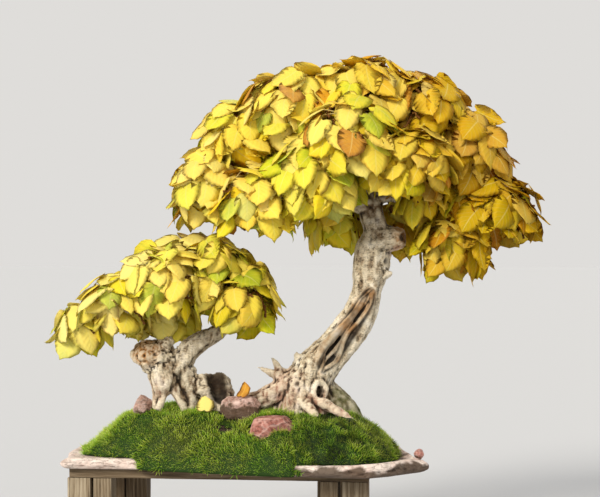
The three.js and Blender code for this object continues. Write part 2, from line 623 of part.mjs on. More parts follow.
// Places for the leaves of a crown: spread over its outside, where no other crown hides them
function slotsOf(crown, index) {
  const [a, b, c] = crown.half;
  const area = 4 * Math.PI * ((a * b + b * c + c * a) / 3);
  const count = Math.round(area / (LEAF_SPACING * LEAF_SPACING));
  const next = numbers(100 + index);
  const start = next() * 2 * Math.PI;
  const slots = [];
  for (let i = 0; i < count; i += 1) {
    const draws = [next(), next(), next(), next(), next(), next()];
    const height = 1 - (2 * (i + 0.5)) / count;
    const angle = start + i * 2.399963;
    const level = Math.sqrt(1 - height * height);
    const way = new THREE.Vector3(level * Math.cos(angle), level * Math.sin(angle), height);
    const spread = 0.84 + 0.16 * draws[0];
    const spot = new THREE.Vector3(a * way.x, b * way.y, c * way.z)
      .multiplyScalar(spread).add(vector(crown.at));
    const hidden = CROWNS.some((other) => {
      if (other === crown) return false;
      const d = spot.clone().sub(vector(other.at));
      return Math.hypot(d.x / other.half[0], d.y / other.half[1], d.z / other.half[2]) < 0.86;
    });
    if (hidden || height < -0.55) continue;
    const out = new THREE.Vector3(way.x / a, way.y / b, way.z / c).normalize();
    out.add(new THREE.Vector3((draws[1] - 0.5) * 0.7, (draws[2] - 0.5) * 0.7, 0.3 + (draws[3] - 0.5) * 0.5));
    out.normalize();
    const tip = DOWN.clone().addScaledVector(new THREE.Vector3(way.x, way.y, 0), 0.45)
      .add(new THREE.Vector3((draws[4] - 0.5) * 0.8, (draws[5] - 0.5) * 0.8, 0));
    tip.addScaledVector(out, -tip.dot(out)).normalize();
    const size = 0.86 + 0.28 * draws[0];
    const root = spot.clone().addScaledVector(out, -LEAF.reach).addScaledVector(tip, -0.42 * LEAF.long - LEAF.back);
    slots.push({ spot, out, tip, size, root });
  }
  return slots;
}

// The leaf of a slot, turned about its stalk and lifted by one of a few steps
function poseOf(slot, turn, lift) {
  const along = slot.tip.clone().applyAxisAngle(slot.out, THREE.MathUtils.degToRad(turn));
  const across = new THREE.Vector3().crossVectors(along, slot.out);
  const base = slot.spot.clone()
    .addScaledVector(slot.tip, -0.42 * LEAF.long * slot.size)
    .addScaledVector(slot.out, lift);
  return { base, along, across, wide: LEAF.wide * slot.size, long: LEAF.long * slot.size };
}

// Twigs of a crown: the leaves are parted into slices round the stem, one twig to a slice
function twigsOf(crown, hub, slots) {
  const axis = hub.clone().sub(vector(crown.from)).normalize();
  const side = new THREE.Vector3(0, 0, 1).addScaledVector(axis, -axis.z);
  if (side.length() < 0.2) side.set(1, 0, 0).addScaledVector(axis, -axis.x);
  side.normalize();
  const across = new THREE.Vector3().crossVectors(axis, side);
  const angleOf = (slot) => {
    const d = slot.root.clone().sub(hub);
    return Math.atan2(d.dot(across), d.dot(side));
  };
  const around = [...slots].sort((a, b) => angleOf(a) - angleOf(b));
  const count = Math.max(1, Math.ceil(slots.length / LEAVES_PER_TWIG));
  const size = Math.ceil(slots.length / count);
  const twigs = [];
  for (let i = 0; i < around.length; i += size) {
    const waiting = around.slice(i, i + size);
    const served = [];
    let here = hub;
    while (waiting.length) {
      let best = 0;
      waiting.forEach((slot, j) => {
        if (slot.root.distanceTo(here) < waiting[best].root.distanceTo(here)) best = j;
      });
      const [slot] = waiting.splice(best, 1);
      served.push(slot);
      here = slot.root;
    }
    twigs.push({ line: [hub, ...served.map((slot) => slot.root)], served });
  }
  return twigs;
}

function twigBody(line, grow) {
  const last = line.length - 1;
  return sweep(line.map((p, i) => {
    const end = p.clone();
    if (i === last) end.addScaledVector(p.clone().sub(line[i - 1]).normalize(), 2);
    return [...end.toArray(), TWIG_RADIUS[0] + ((TWIG_RADIUS[1] - TWIG_RADIUS[0]) * i) / last];
  }), 3, grow);
}

function boxOf(body) {
  const { min, max } = body.boundingBox();
  return { min, max };
}

function meet(a, b) {
  for (let i = 0; i < 3; i += 1) {
    if (a.box.max[i] < b.box.min[i] || b.box.max[i] < a.box.min[i]) return false;
  }
  return !a.body.intersect(b.body).isEmpty();
}

// Build the wood
const limbs = limbList();
const woodKeep = join(limbs.map(({ limb, sides, ridge }) => sweep(limb, sides, GAP, ridge))
  .concat([ringBody({ ...KNOT, bead: KNOT.bead + GAP })]));
const wood = largest(join(limbs.map(({ limb, sides, ridge }) => sweep(limb, sides, 0, ridge))
  .concat([ringBody(KNOT)]))
  .subtract(join([...HOLLOWS.map((limb) => sweep(limb, 6)), plug(KNOT)])).simplify(FINE));

// Build the ground
const slab = slabBody(0);
const slabKeep = slabBody(GAP);
const rocks = ROCKS.map((rock) => ({ ...rock, body: rockBody(rock, 0), keep: rockBody(rock, GAP) }));
const rocksKeep = join(rocks.slice(0, 3).map((rock) => rock.keep));
const soilOutline = MOSS_OUTLINE.filter((p, i) => i % 2 === 0).map(([x, y]) => [x, Math.max(y, -128 + (x > -60 ? 0 : (-60 - x) * 0.3))]);
const soilParts = (grow) => mound(soilOutline, SOIL_RINGS, MOSS_THICK, SLAB_THICK - 4, grow);
const soil = largest(soilParts(0).subtract(slabKeep).subtract(woodKeep).simplify(FINE));
const soilKeep = soilParts(GAP);
rocks.slice(0, 3).forEach((rock) => {
  rock.body = largest(rock.body.subtract(soilKeep).subtract(woodKeep));
});
const mossAll = mound(MOSS_OUTLINE, MOUND_RINGS, 0, 1)
  .subtract(slabKeep).subtract(soilKeep).subtract(woodKeep).subtract(rocksKeep);
const wallBody = (() => {
  const points = [];
  MAT_SPLIT.forEach(([x, y]) => {
    for (const z of [STAND_HEIGHT - 20, STAND_HEIGHT + 140]) {
      for (const dx of [-0.25, 0.25]) points.push(new THREE.Vector3(x + dx, y, z));
    }
  });
  const faces = [[0, 1, 3], [0, 3, 2]];
  const last = (MAT_SPLIT.length - 1) * 4;
  faces.push([last, last + 3, last + 1], [last, last + 2, last + 3]);
  for (let i = 0; i < MAT_SPLIT.length - 1; i += 1) {
    const a = i * 4;
    for (const [p, q] of [[0, 2], [2, 3], [3, 1], [1, 0]]) {
      faces.push([a + p, a + q, a + q + 4], [a + p, a + q + 4, a + p + 4]);
    }
  }
  return solid(points, faces);
})();
const mats = mossAll.subtract(wallBody).simplify(FINE).decompose().sort((a, b) => b.volume() - a.volume()).slice(0, 2)
  .sort((a, b) => a.boundingBox().min[0] - b.boundingBox().min[0]);

// Where a crown's stem leaves the wood: as near to it as the gap allows
function startOf(crown, hub) {
  const from = vector(crown.from);
  const way = hub.clone().sub(from);
  const far = way.length();
  way.normalize();
  const side = stemSide(way);
  const clear = (t) => {
    const stem = newSpray(ringAt(from.clone().addScaledVector(way, t), way, side, STEM_RADIUS));
    const { cap } = push(stem, stem.cap, ringAt(hub, way, side, STEM_RADIUS));
    stem.faces.push(cap);
    return solid(stem.points, stem.faces).intersect(woodKeep).isEmpty();
  };
  let t = 0;
  while (t < far - 3 && !clear(t)) t += 0.15;
  return from.addScaledVector(way, t);
}

// Build the foliage
const crowns = CROWNS.map((crown, index) => {
  const hub = hubOf(crown);
  const slots = slotsOf(crown, index);
  const start = startOf(crown, hub);
  const twigs = twigsOf(crown, hub, slots);
  const stem = sweep([[...start.toArray(), STEM_RADIUS], [...hub.toArray(), STEM_RADIUS]], 4, GAP * 2);
  const guards = [stem, ...twigs.map((twig) => twigBody(twig.line, GAP * 2))]
    .map((body) => ({ body, box: boxOf(body) }));
  return { ...crown, index, hub, start, slots, twigs, guards };
});
const woodItem = { body: woodKeep, box: boxOf(woodKeep) };
const taken = [];
crowns.forEach((crown) => {
  crown.slots.forEach((slot) => {
    for (const lift of LIFTS) {
      for (const turn of TURNS) {
        const pose = poseOf(slot, turn, lift);
        const shape = [pose.base, pose.across, pose.along, slot.out, pose.wide, pose.long];
        const guard = leafBody(slot.root, ...shape, GAP);
        const item = { body: guard, box: boxOf(guard) };
        const stub = slot.root.clone().lerp(pose.base, CLEAR / slot.root.distanceTo(pose.base));
        const blade = leafBody(stub, ...shape, GAP);
        const bladeItem = { body: blade, box: boxOf(blade) };
        const clash = meet(item, woodItem)
          || taken.some((other) => meet(item, other))
          || crowns.some((other) => other.guards.some((stick) => meet(other === crown ? bladeItem : item, stick)));
        if (clash) continue;
        const body = leafBody(slot.root, ...shape);
        taken.push({ body, box: boxOf(body), crown });
        slot.pose = pose;
        return;
      }
    }
  });
});

function itemOf(body) {
  return { body, box: boxOf(body) };
}

function leafItem(slot, swell) {
  const { base, across, along, wide, long } = slot.pose;
  return itemOf(leafBody(slot.root, base, across, along, slot.out, wide, long, swell));
}

// Where two sprays still touch, the leaves that do are left out and both are grown again
crowns.forEach((crown) => {
  crown.item = itemOf(growSpray(crown));
});
const again = new Set();
crowns.forEach((a) => crowns.slice(a.index + 1).forEach((b) => {
  if (!meet(a.item, b.item)) return;
  [[a, b], [b, a]].forEach(([crown, other]) => crown.slots.forEach((slot) => {
    if (!slot.pose || !meet(leafItem(slot, GAP), other.item)) return;
    slot.pose = null;
    again.add(crown);
  }));
}));
again.forEach((crown) => {
  crown.item = itemOf(growSpray(crown));
});

const foliage = crowns.map((crown) => {
  let { body } = crown.item;
  if (meet(crown.item, woodItem)) body = body.subtract(woodKeep);
  crowns.slice(0, crown.index).forEach((other) => {
    if (meet(crown.item, other.item)) body = body.subtract(growSpray(other, GAP));
  });
  return { name: `foliage ${crown.name}`, body: largest(body), colour: crown.index % 3 ? 0xd9bb3a : 0xcfae3c };
});

// Lower a loose thing until it all but touches what lies under it
function seat(make, ground) {
  let lift = 0;
  while (lift > -80 && make(lift - 0.3).intersect(ground).isEmpty()) lift -= 0.3;
  return make(lift);
}
const tipRock = rocks[rocks.length - 1];
const tipShape = tipRock.body;
tipRock.body = seat((lift) => tipShape.translate([0, 0, lift]), join([slab, mats[1]]));
const ground = join([mats[0], mats[1], wood, ...rocks.map((rock) => rock.body)]);
const fallen = FALLEN.map((leaf) => {
  const along = new THREE.Vector3(Math.cos(leaf.heading), Math.sin(leaf.heading), 0);
  const across = new THREE.Vector3().crossVectors(along, new THREE.Vector3(0, 0, 1));
  const out = new THREE.Vector3(0, 0, 1);
  const body = seat((lift) => {
    const base = new THREE.Vector3(leaf.at[0], leaf.at[1], leaf.lift + lift).addScaledVector(along, -leaf.long / 2);
    const root = base.clone().addScaledVector(along, -6);
    return leafBody(root, base, across, along, out, leaf.wide, leaf.long);
  }, ground);
  return { name: leaf.name, body, colour: leaf.colour };
});

// Gather: what grew or formed is turned on the stand, which stays square
const group = new THREE.Group();
group.name = 'mulberry bonsai';
const pieces = [
  { name: 'stone slab', body: slab, colour: 0xcdb8ac, roughness: 0.9 },
  { name: 'soil', body: soil, colour: 0x3b2c20, roughness: 1 },
  { name: 'moss left', body: mats[0], colour: 0x6c8a1e, roughness: 1 },
  { name: 'moss right', body: mats[1], colour: 0x5c7d1e, roughness: 1 },
  ...rocks.map((rock) => ({ name: rock.name, body: rock.body, colour: rock.colour, roughness: 0.85 })),
  { name: 'tree wood', body: wood, colour: 0x8d7a66, roughness: 0.85 },
  ...foliage.map((item) => ({ ...item, roughness: 0.6 })),
  ...fallen.map((item) => ({ ...item, roughness: 0.6 })),
].map((piece) => ({ ...piece, turned: true }));
const { left, right, front, back, thick } = BOARD;
pieces.push({
  name: 'stand board',
  body: box([left, front, STAND_HEIGHT - thick], [right, back, STAND_HEIGHT - 0.01]),
  colour: 0x8a7458,
  roughness: 0.8,
});
const postTop = STAND_HEIGHT - thick - 0.02;
[['front', FRONT_POSTS, front + POST_SETBACK], ['back', BACK_POSTS, back - POST_SETBACK - POST_DEPTH]]
  .forEach(([row, posts, y]) => posts.forEach(([x0, x1], i) => pieces.push({
    name: `${row} post ${i + 1}`,
    body: box([x0, y, 0], [x1, y + POST_DEPTH, postTop]),
    colour: 0x8f7a5e,
    roughness: 0.8,
  })));

pieces.forEach(({ name, body, colour, roughness, turned }) => {
  const data = body.getMesh();
  const geometry = new THREE.BufferGeometry();
  geometry.setAttribute('position', new THREE.BufferAttribute(new Float32Array(data.vertProperties), 3));
  geometry.setIndex(new THREE.BufferAttribute(new Uint32Array(data.triVerts), 1));
  if (turned) geometry.rotateZ(TURN);
  geometry.computeVertexNormals();
  const mesh = new THREE.Mesh(geometry, new THREE.MeshStandardMaterial({ color: colour, roughness, metalness: 0 }));
  mesh.name = name.replaceAll(' ', '_');
  group.add(mesh);
});

// The middle of the whole goes over the origin
const whole = new THREE.Box3().setFromObject(group);
const middle = whole.getCenter(new THREE.Vector3());
group.children.forEach((mesh) => mesh.geometry.translate(-middle.x, -middle.y, -whole.min.z));

export default group;
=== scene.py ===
# A mulberry bonsai in autumn leaf: two trunks from one root mass, on a mossy slab of stone, on a
# weathered wooden stand.
import json
import math

import bmesh
import bpy
import numpy as np
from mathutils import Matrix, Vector, noise
from mathutils.kdtree import KDTree

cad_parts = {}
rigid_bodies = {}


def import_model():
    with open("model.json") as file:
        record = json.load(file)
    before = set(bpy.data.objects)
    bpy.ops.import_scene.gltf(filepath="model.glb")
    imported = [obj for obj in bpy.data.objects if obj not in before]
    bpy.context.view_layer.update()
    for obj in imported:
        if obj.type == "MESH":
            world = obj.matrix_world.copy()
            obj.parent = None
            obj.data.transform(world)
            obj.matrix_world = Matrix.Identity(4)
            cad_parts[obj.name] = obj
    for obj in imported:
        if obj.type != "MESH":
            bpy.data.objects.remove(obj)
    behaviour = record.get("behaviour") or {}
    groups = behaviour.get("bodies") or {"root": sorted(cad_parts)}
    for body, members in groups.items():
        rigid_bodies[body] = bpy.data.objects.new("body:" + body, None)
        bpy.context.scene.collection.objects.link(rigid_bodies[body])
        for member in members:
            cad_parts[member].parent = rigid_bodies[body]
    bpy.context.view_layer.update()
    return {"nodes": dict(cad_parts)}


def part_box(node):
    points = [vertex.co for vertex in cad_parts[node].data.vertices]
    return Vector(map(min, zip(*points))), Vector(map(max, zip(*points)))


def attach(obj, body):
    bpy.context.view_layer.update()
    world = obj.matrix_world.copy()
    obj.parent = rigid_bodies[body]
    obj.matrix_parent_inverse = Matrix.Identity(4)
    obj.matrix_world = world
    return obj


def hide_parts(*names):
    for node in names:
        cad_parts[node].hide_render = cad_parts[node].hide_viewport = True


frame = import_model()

cadNodes = frame["nodes"]

# Lengths below are in millimetres, seen from the front: x right, y away, z up from the floor.
# The tree, the ground and the slab are turned a little on the stand.
layout = {"turn": math.radians(6.3), "boardCentre": (-112.6, 10.0), "mm": 0.001}
boardLow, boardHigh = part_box("stand_board")
shift = [(boardLow[i] + boardHigh[i]) / 2 - layout["boardCentre"][i] * layout["mm"] for i in (0, 1)]
turnCos, turnSin = math.cos(layout["turn"]), math.sin(layout["turn"])


# Ways in the layout, as ways in the frame
def turnedWay(ways):
    w = np.asarray(ways, float)
    return np.stack([w[..., 0] * turnCos - w[..., 1] * turnSin,
                     w[..., 0] * turnSin + w[..., 1] * turnCos, w[..., 2]], axis=-1)


# Points in the layout, in millimetres, as points in the frame, in metres
def placed(points):
    p = turnedWay(np.asarray(points, float) * layout["mm"])
    return p + np.array([shift[0], shift[1], 0.0])


# Points in the frame, in metres, as points in the layout, in millimetres
def laidOut(points):
    p = (np.asarray(points, float) - np.array([shift[0], shift[1], 0.0])) / layout["mm"]
    return np.stack([p[..., 0] * turnCos + p[..., 1] * turnSin,
                     -p[..., 0] * turnSin + p[..., 1] * turnCos, p[..., 2]], axis=-1)


# Camera, light and floor

cameraView = {"distance": 2400, "height": 473.5, "lens": 96, "sensor": 36}
lights = {
    "key": {"at": (-1150, -1750, 1620), "soft": 0.35, "power": 2.9, "colour": "#fff8ec"},
    "fill": {"at": (900, -2300, 700), "soft": 0.8, "power": 0.3, "colour": "#fff3e0"},
    "rim": {"at": (500, 1500, 1500), "soft": 0.6, "power": 0.5, "colour": "#fff8ee"},
}
# The floor's grey is the one at which the lit floor and the air look alike, so no horizon shows
room = {"floor": "#c2c4c7", "air": "#dfddda", "airPower": 1.0, "reach": 40.0}


# An sRGB hex colour as linear red, green, blue and alpha
def linear(colour):
    parts = [int(colour[i:i + 2], 16) / 255 for i in (1, 3, 5)]
    return [c / 12.92 if c <= 0.04045 else ((c + 0.055) / 1.055) ** 2.4 for c in parts] + [1.0]


# Adds a node to a tree: a kind without a family is a shader node. Feeds are its inputs, by name or
# number: values, sockets to link, or nodes, which stand for their factor or first output in use.
def addNode(tree, kind, feeds=None, stops=None, **settings):
    node = tree.nodes.new(kind if "Node" in kind else "ShaderNode" + kind)
    for name, value in settings.items():
        setattr(node, name, value)
    for name, value in (feeds or {}).items():
        if isinstance(value, bpy.types.Node):
            value = value.outputs.get("Fac") or next(end for end in value.outputs if end.enabled)
        if isinstance(value, bpy.types.NodeSocket):
            tree.links.new(value, node.inputs[name])
        else:
            node.inputs[name].default_value = value
    if stops:
        ramp = node.color_ramp
        ramp.elements.remove(ramp.elements[1])
        ramp.elements[0].position = stops[0][0]
        ramp.elements[0].color = linear(stops[0][1])
        for place, colour in stops[1:]:
            ramp.elements.new(place).color = linear(colour)
    return node


# A new material, its tree, and places on the piece in its own coordinates
def newMaterial(name):
    material = bpy.data.materials.new(name)
    material.use_nodes = True
    tree = material.node_tree
    tree.nodes.clear()
    return material, tree, addNode(tree, "TexCoord").outputs["Object"]


# Colours laid over one another, each where its share is: a node, or the name of an attribute
def paintOver(tree, colour, coats, blend="MIX"):
    for share, shade in coats:
        if isinstance(share, str):
            share = addNode(tree, "Attribute", attribute_name=share)
        colour = addNode(tree, "Mix", {0: share, 6: colour, 7: linear(shade)}, data_type="RGBA",
                         blend_type=blend)
    return colour


# A thin line where a value passes a level: the way from the level, and the line from outer to inner
def thinLine(tree, value, level, outer, inner, most):
    middle = addNode(tree, "Math", {0: value, 1: level}, operation="SUBTRACT")
    away = addNode(tree, "Math", {0: middle}, operation="ABSOLUTE")
    return away, addNode(tree, "MapRange", {
        "Value": away, "From Min": outer, "From Max": inner, "To Max": most})


# Ends a material. Relief is a height with its strength and depth; a thin thing lets light through.
def endMaterial(tree, colour, roughness, specular=0.5, relief=None, invert=False, through=0.0):
    feeds = {"Base Color": colour, "Roughness": roughness}
    if relief:
        height, strength, depth = relief
        feeds["Normal"] = addNode(tree, "Bump", {"Height": height, "Strength": strength, "Distance": depth},
                                  invert=invert)
    shader = addNode(tree, "BsdfPrincipled", feeds)
    shader.inputs["Specular IOR Level"].default_value = specular
    if through:
        thin = addNode(tree, "BsdfTranslucent", {"Color": colour})
        shader = addNode(tree, "MixShader", {0: through, 1: shader, 2: thin})
    addNode(tree, "OutputMaterial", {"Surface": shader})


def addObject(name, data):
    thing = bpy.data.objects.new(name, data)
    bpy.context.scene.collection.objects.link(thing)
    return thing


def setUpRoom():
    scene = bpy.context.scene
    data = bpy.data.cameras.new("camera")
    data.lens = cameraView["lens"]
    data.sensor_width = cameraView["sensor"]
    data.clip_end = 100
    camera = addObject("camera", data)
    camera.location = placed([0, -cameraView["distance"], cameraView["height"]])
    camera.rotation_euler = (math.pi / 2, 0, layout["turn"])
    scene.camera = camera
    aim = Vector(placed([0, 0, 420]))
    for name, light in lights.items():
        lamp = bpy.data.lights.new(name, "SUN")
        lamp.angle = light["soft"]
        lamp.energy = light["power"]
        lamp.color = linear(light["colour"])[:3]
        thing = addObject(name, lamp)
        thing.location = placed(light["at"])
        thing.rotation_euler = (aim - thing.location).to_track_quat("-Z", "Y").to_euler()
    world = bpy.data.worlds.new("studio air")
    world.use_nodes = True
    back = world.node_tree.nodes["Background"]
    back.inputs["Color"].default_value = linear(room["air"])
    back.inputs["Strength"].default_value = room["airPower"]
    scene.world = world
    scene.view_settings.view_transform = "Standard"
    # Matt painted floor: even and pale, with the faintest unevenness of a roller
    paint, tree, inside = newMaterial("matt floor paint")
    roller = addNode(tree, "TexNoise", {"Vector": inside, "Scale": 9.0})
    endMaterial(tree, linear(room["floor"]), 0.9, relief=(roller, 0.05, 0.001))
    mesh = bpy.data.meshes.new("floor")
    reach = room["reach"]
    mesh.from_pydata([(-reach, -reach, 0), (reach, -reach, 0), (reach, reach, 0), (-reach, reach, 0)],
                     [], [(0, 1, 2, 3)])
    mesh.materials.append(paint)
    addObject("floor", mesh)


setUpRoom()
print("camera, light and floor set up")


# Shared mesh work


def newPiece(name, points, faces, *materials):
    mesh = bpy.data.meshes.new(name)
    mesh.from_pydata(np.asarray(points).tolist(), [], faces)
    for material in materials:
        mesh.materials.append(material)
    return addObject(name, mesh)


# Turns an object's modifiers into a plain mesh of its own
def bake(piece):
    graph = bpy.context.evaluated_depsgraph_get()
    mesh = bpy.data.meshes.new_from_object(piece.evaluated_get(graph), depsgraph=graph)
    piece.modifiers.clear()
    old = piece.data
    piece.data = mesh
    bpy.data.meshes.remove(old)
    return piece


def remesh(piece, voxel, smoothing):
    change = piece.modifiers.new("remesh", "REMESH")
    change.mode = "VOXEL"
    change.voxel_size = voxel * layout["mm"]
    change.use_smooth_shade = True
    if smoothing:
        smooth = piece.modifiers.new("smooth", "SMOOTH")
        smooth.factor = 0.5
        smooth.iterations = smoothing
    return bake(piece)


# Turns all of a mesh's faces outwards, after its loose corners are merged if need be
def faceOutwards(mesh, merge=False):
    work = bmesh.new()
    work.from_mesh(mesh)
    if merge:
        bmesh.ops.remove_doubles(work, verts=work.verts, dist=1e-6)
    bmesh.ops.recalc_face_normals(work, faces=work.faces)
    work.to_mesh(mesh)
    work.free()


# A finer copy of a CAD solid, in the same place
def finerCopy(node, name, voxel, smoothing):
    mesh = cadNodes[node].data.copy()
    mesh.materials.clear()
    faceOutwards(mesh, merge=True)
    return remesh(addObject(name, mesh), voxel, smoothing)


def pointsOf(mesh):
    points = np.empty(len(mesh.vertices) * 3)
    mesh.vertices.foreach_get("co", points)
    return points.reshape(-1, 3)


def normalsOf(mesh):
    normals = np.empty(len(mesh.vertices) * 3)
    mesh.vertex_normals.foreach_get("vector", normals)
    return normals.reshape(-1, 3)


def movePoints(mesh, points):
    mesh.vertices.foreach_set("co", np.ascontiguousarray(points).ravel())
    mesh.update()


def storeShare(mesh, name, values):
    layer = mesh.attributes.new(name, "FLOAT", "POINT")
    layer.data.foreach_set("value", np.asarray(values, float))


# Noise at points in millimetres, from about -1 to 1: size is how wide its lumps are
def lumps(points, size, seed, octaves=2, stretch=(1, 1, 1)):
    scale = np.array(stretch, float) / size
    offset = Vector((seed * 17.3, seed * 5.1, seed * 9.7))
    return np.array([noise.fractal(Vector(p) + offset, 1.0, 2.0, octaves) for p in points * scale])


def unit(v):
    return v / np.linalg.norm(v)


# How deep each point lies in a dent, in millimetres, against its surroundings
def dents(mesh, rounds):
    points = pointsOf(mesh)
    ends = np.empty(len(mesh.edges) * 2, int)
    mesh.edges.foreach_get("vertices", ends)
    here, there = np.concatenate([ends[0::2], ends[1::2]]), np.concatenate([ends[1::2], ends[0::2]])
    count = np.maximum(np.bincount(here, minlength=len(points)), 1)
    soft = points
    for _ in range(rounds):
        soft = np.stack([np.bincount(here, soft[there, i], len(points)) / count for i in range(3)], axis=1)
    return ((soft - points) * normalsOf(mesh)).sum(axis=1) / layout["mm"]


def near(points, centre, reach):
    far = np.linalg.norm(points - np.array(centre, float), axis=1) / reach
    return np.clip(1.15 - far, 0, 1) ** 0.8 * (far < 1.15)


made = []


def finishPiece(piece, slotName, *replaced):
    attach(piece, "root")
    if replaced:
        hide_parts(*replaced)
    piece.data.calc_loop_triangles()
    made.append(len(piece.data.loop_triangles))
    print(piece.name, made[-1], "triangles,", sum(made), "in all")


# Stand

# How lit each piece is, painted into its wood: painted light on the front posts, painted shade on the back
# posts and on the board in the slab's shadow
standLightAndShade = {
    "stand_board": 0.35, "front_post_1": 0.8, "front_post_2": 0.62, "front_post_3": 0.55,
    "front_post_4": 0.6, "back_post_1": 0.25, "back_post_2": 0.3, "back_post_3": 0.3, "back_post_4": 0.35,
}
standShape = {"bevel": 1.4, "cut": 9, "wear": 0.7, "lump": 7, "alongGrain": 0.12}
# Scales of the grain's pattern across and along it. The streaks are about 3 mm wide: real ones of
# 1 mm would not show.
pineGrain = {"streaks": (300, 12), "fibres": (1100, 30)}


# Weathered pine: planed once, then left outdoors, so the soft grain has sunk and gone grey. It
# gives long fine streaks with dark splits along them and no gloss.
def weatheredPine(name, grain):
    material, tree, inside = newMaterial(name)
    stretched = {}
    for part, (across, along) in pineGrain.items():
        scale = [across] * 3
        scale[grain] = along
        stretched[part] = addNode(tree, "Mapping", {"Vector": inside, "Scale": scale})
    streaks = addNode(tree, "TexNoise", {
        "Vector": stretched["streaks"], "Scale": 1.0, "Detail": 5.0, "Roughness": 0.6, "Distortion": 0.4})
    fibres = addNode(tree, "TexNoise", {"Vector": stretched["fibres"], "Scale": 1.0, "Detail": 3.0})
    blots = addNode(tree, "TexNoise", {"Vector": inside, "Scale": 22.0})
    # The tone attribute mixes a lit copy of the wood with a shaded copy: painted light and painted shade, one
    # share for each piece
    tone = addNode(tree, "Attribute", attribute_name="tone")
    light = addNode(tree, "ValToRGB", {"Fac": streaks}, stops=[
        (0.28, "#554836"), (0.45, "#8a7a62"), (0.58, "#aa9c84"), (0.75, "#c7bba5")])
    shadedCopy = addNode(tree, "ValToRGB", {"Fac": streaks}, stops=[
        (0.28, "#23180f"), (0.5, "#4a3722"), (0.72, "#6d5537")])
    litOrShaded = addNode(tree, "Mix", {0: tone, 6: shadedCopy, 7: light}, data_type="RGBA")
    stain = addNode(tree, "MapRange", {"Value": blots, "From Min": 0.5, "From Max": 0.75, "To Max": 0.35})
    split = addNode(tree, "MapRange", {"Value": fibres, "From Min": 0.36, "From Max": 0.30, "To Max": 0.75})
    colour = paintOver(tree, litOrShaded, [(stain, "#6a5338"), (split, "#1d140c")])
    relief = addNode(tree, "Math", {0: streaks, 1: fibres}, operation="ADD")
    endMaterial(tree, colour, 0.86, 0.25, (relief, 0.6, 0.0012))
    return material


# A sawn length of wood filling the CAD solid's box, with its edges rounded and worn
def wornBoard(node, grain, tone, material):
    low, high = (np.array(corner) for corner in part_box(node))
    work = bmesh.new()
    bmesh.ops.create_cube(work, size=1.0)
    for vert in work.verts:
        vert.co = Vector((low + high) / 2 + np.array(vert.co) * (high - low))
    bmesh.ops.bevel(work, geom=work.edges[:], offset=standShape["bevel"] * layout["mm"], segments=3,
                    profile=0.6, affect="EDGES")
    for axis in range(3):
        step = standShape["cut"] * layout["mm"] * (1 if axis == grain else 0.8)
        count = int((high[axis] - low[axis]) / step)
        way = Vector([float(i == axis) for i in range(3)])
        for i in range(1, count):
            spot = way * (low[axis] + (high[axis] - low[axis]) * i / count)
            bmesh.ops.bisect_plane(work, geom=work.verts[:] + work.edges[:] + work.faces[:],
                                   plane_co=spot, plane_no=way)
    mesh = bpy.data.meshes.new(node)
    work.to_mesh(mesh)
    work.free()
    mesh.materials.append(material)
    mesh.shade_smooth()
    piece = addObject(node.replace("stand_board", "board") + "_wood", mesh)
    points = pointsOf(mesh)
    stretch = [1.0] * 3
    stretch[grain] = standShape["alongGrain"]
    worn = lumps(points / layout["mm"], standShape["lump"], len(node), 2, stretch) * 0.5 + 0.5
    deep = np.clip(worn, 0, 1) * standShape["wear"]
    movePoints(mesh, points - normalsOf(mesh) * deep[:, None] * layout["mm"])
    # Each piece's painted light or shade, as its tone
    storeShare(mesh, "tone", np.full(len(points), tone))
    finishPiece(piece, "weathered stand wood", node)


pine = {0: weatheredPine("weathered pine board", 0), 2: weatheredPine("weathered pine posts", 2)}
for node, tone in standLightAndShade.items():
    grain = 0 if node == "stand_board" else 2
    wornBoard(node, grain, tone, pine[grain])
print("stand made")


# Slab, soil and rocks

slabShape = {"voxel": 3.1, "smoothing": 1, "chips": 3.2, "ledge": 3.0, "grit": 0.9, "bottom": 150.6,
             "chipWide": 34, "ledgeTall": 6.5, "gritWide": 7, "red": ((184, -76, 164), 20)}
rockShapes = {
    "front_rock": {"voxel": 1.2, "planes": 15, "bite": 0.24, "slot": "red rock", "stone": "red", "seed": 4,
                   "cuts": [([0.62, -0.62, -0.48], 0.72), ([-0.5, -0.78, 0.38], 0.85)]},
    "slab_tip_rock": {"voxel": 0.9, "planes": 10, "bite": 0.25, "slot": "red rock", "stone": "red",
                      "seed": 2},
    "left_rock": {"voxel": 1.1, "planes": 9, "bite": 0.13, "slot": "pale rock", "stone": "pale", "seed": 3,
                  "cuts": [([0.54, 0, 0.84], 0.79), ([-0.91, 0, 0.41], 0.5)]},
    "flat_rock": {"voxel": 1.2, "planes": 16, "bite": 0.2, "slot": "pale rock", "stone": "pale", "seed": 9,
                  "darkShare": 0.62},
}


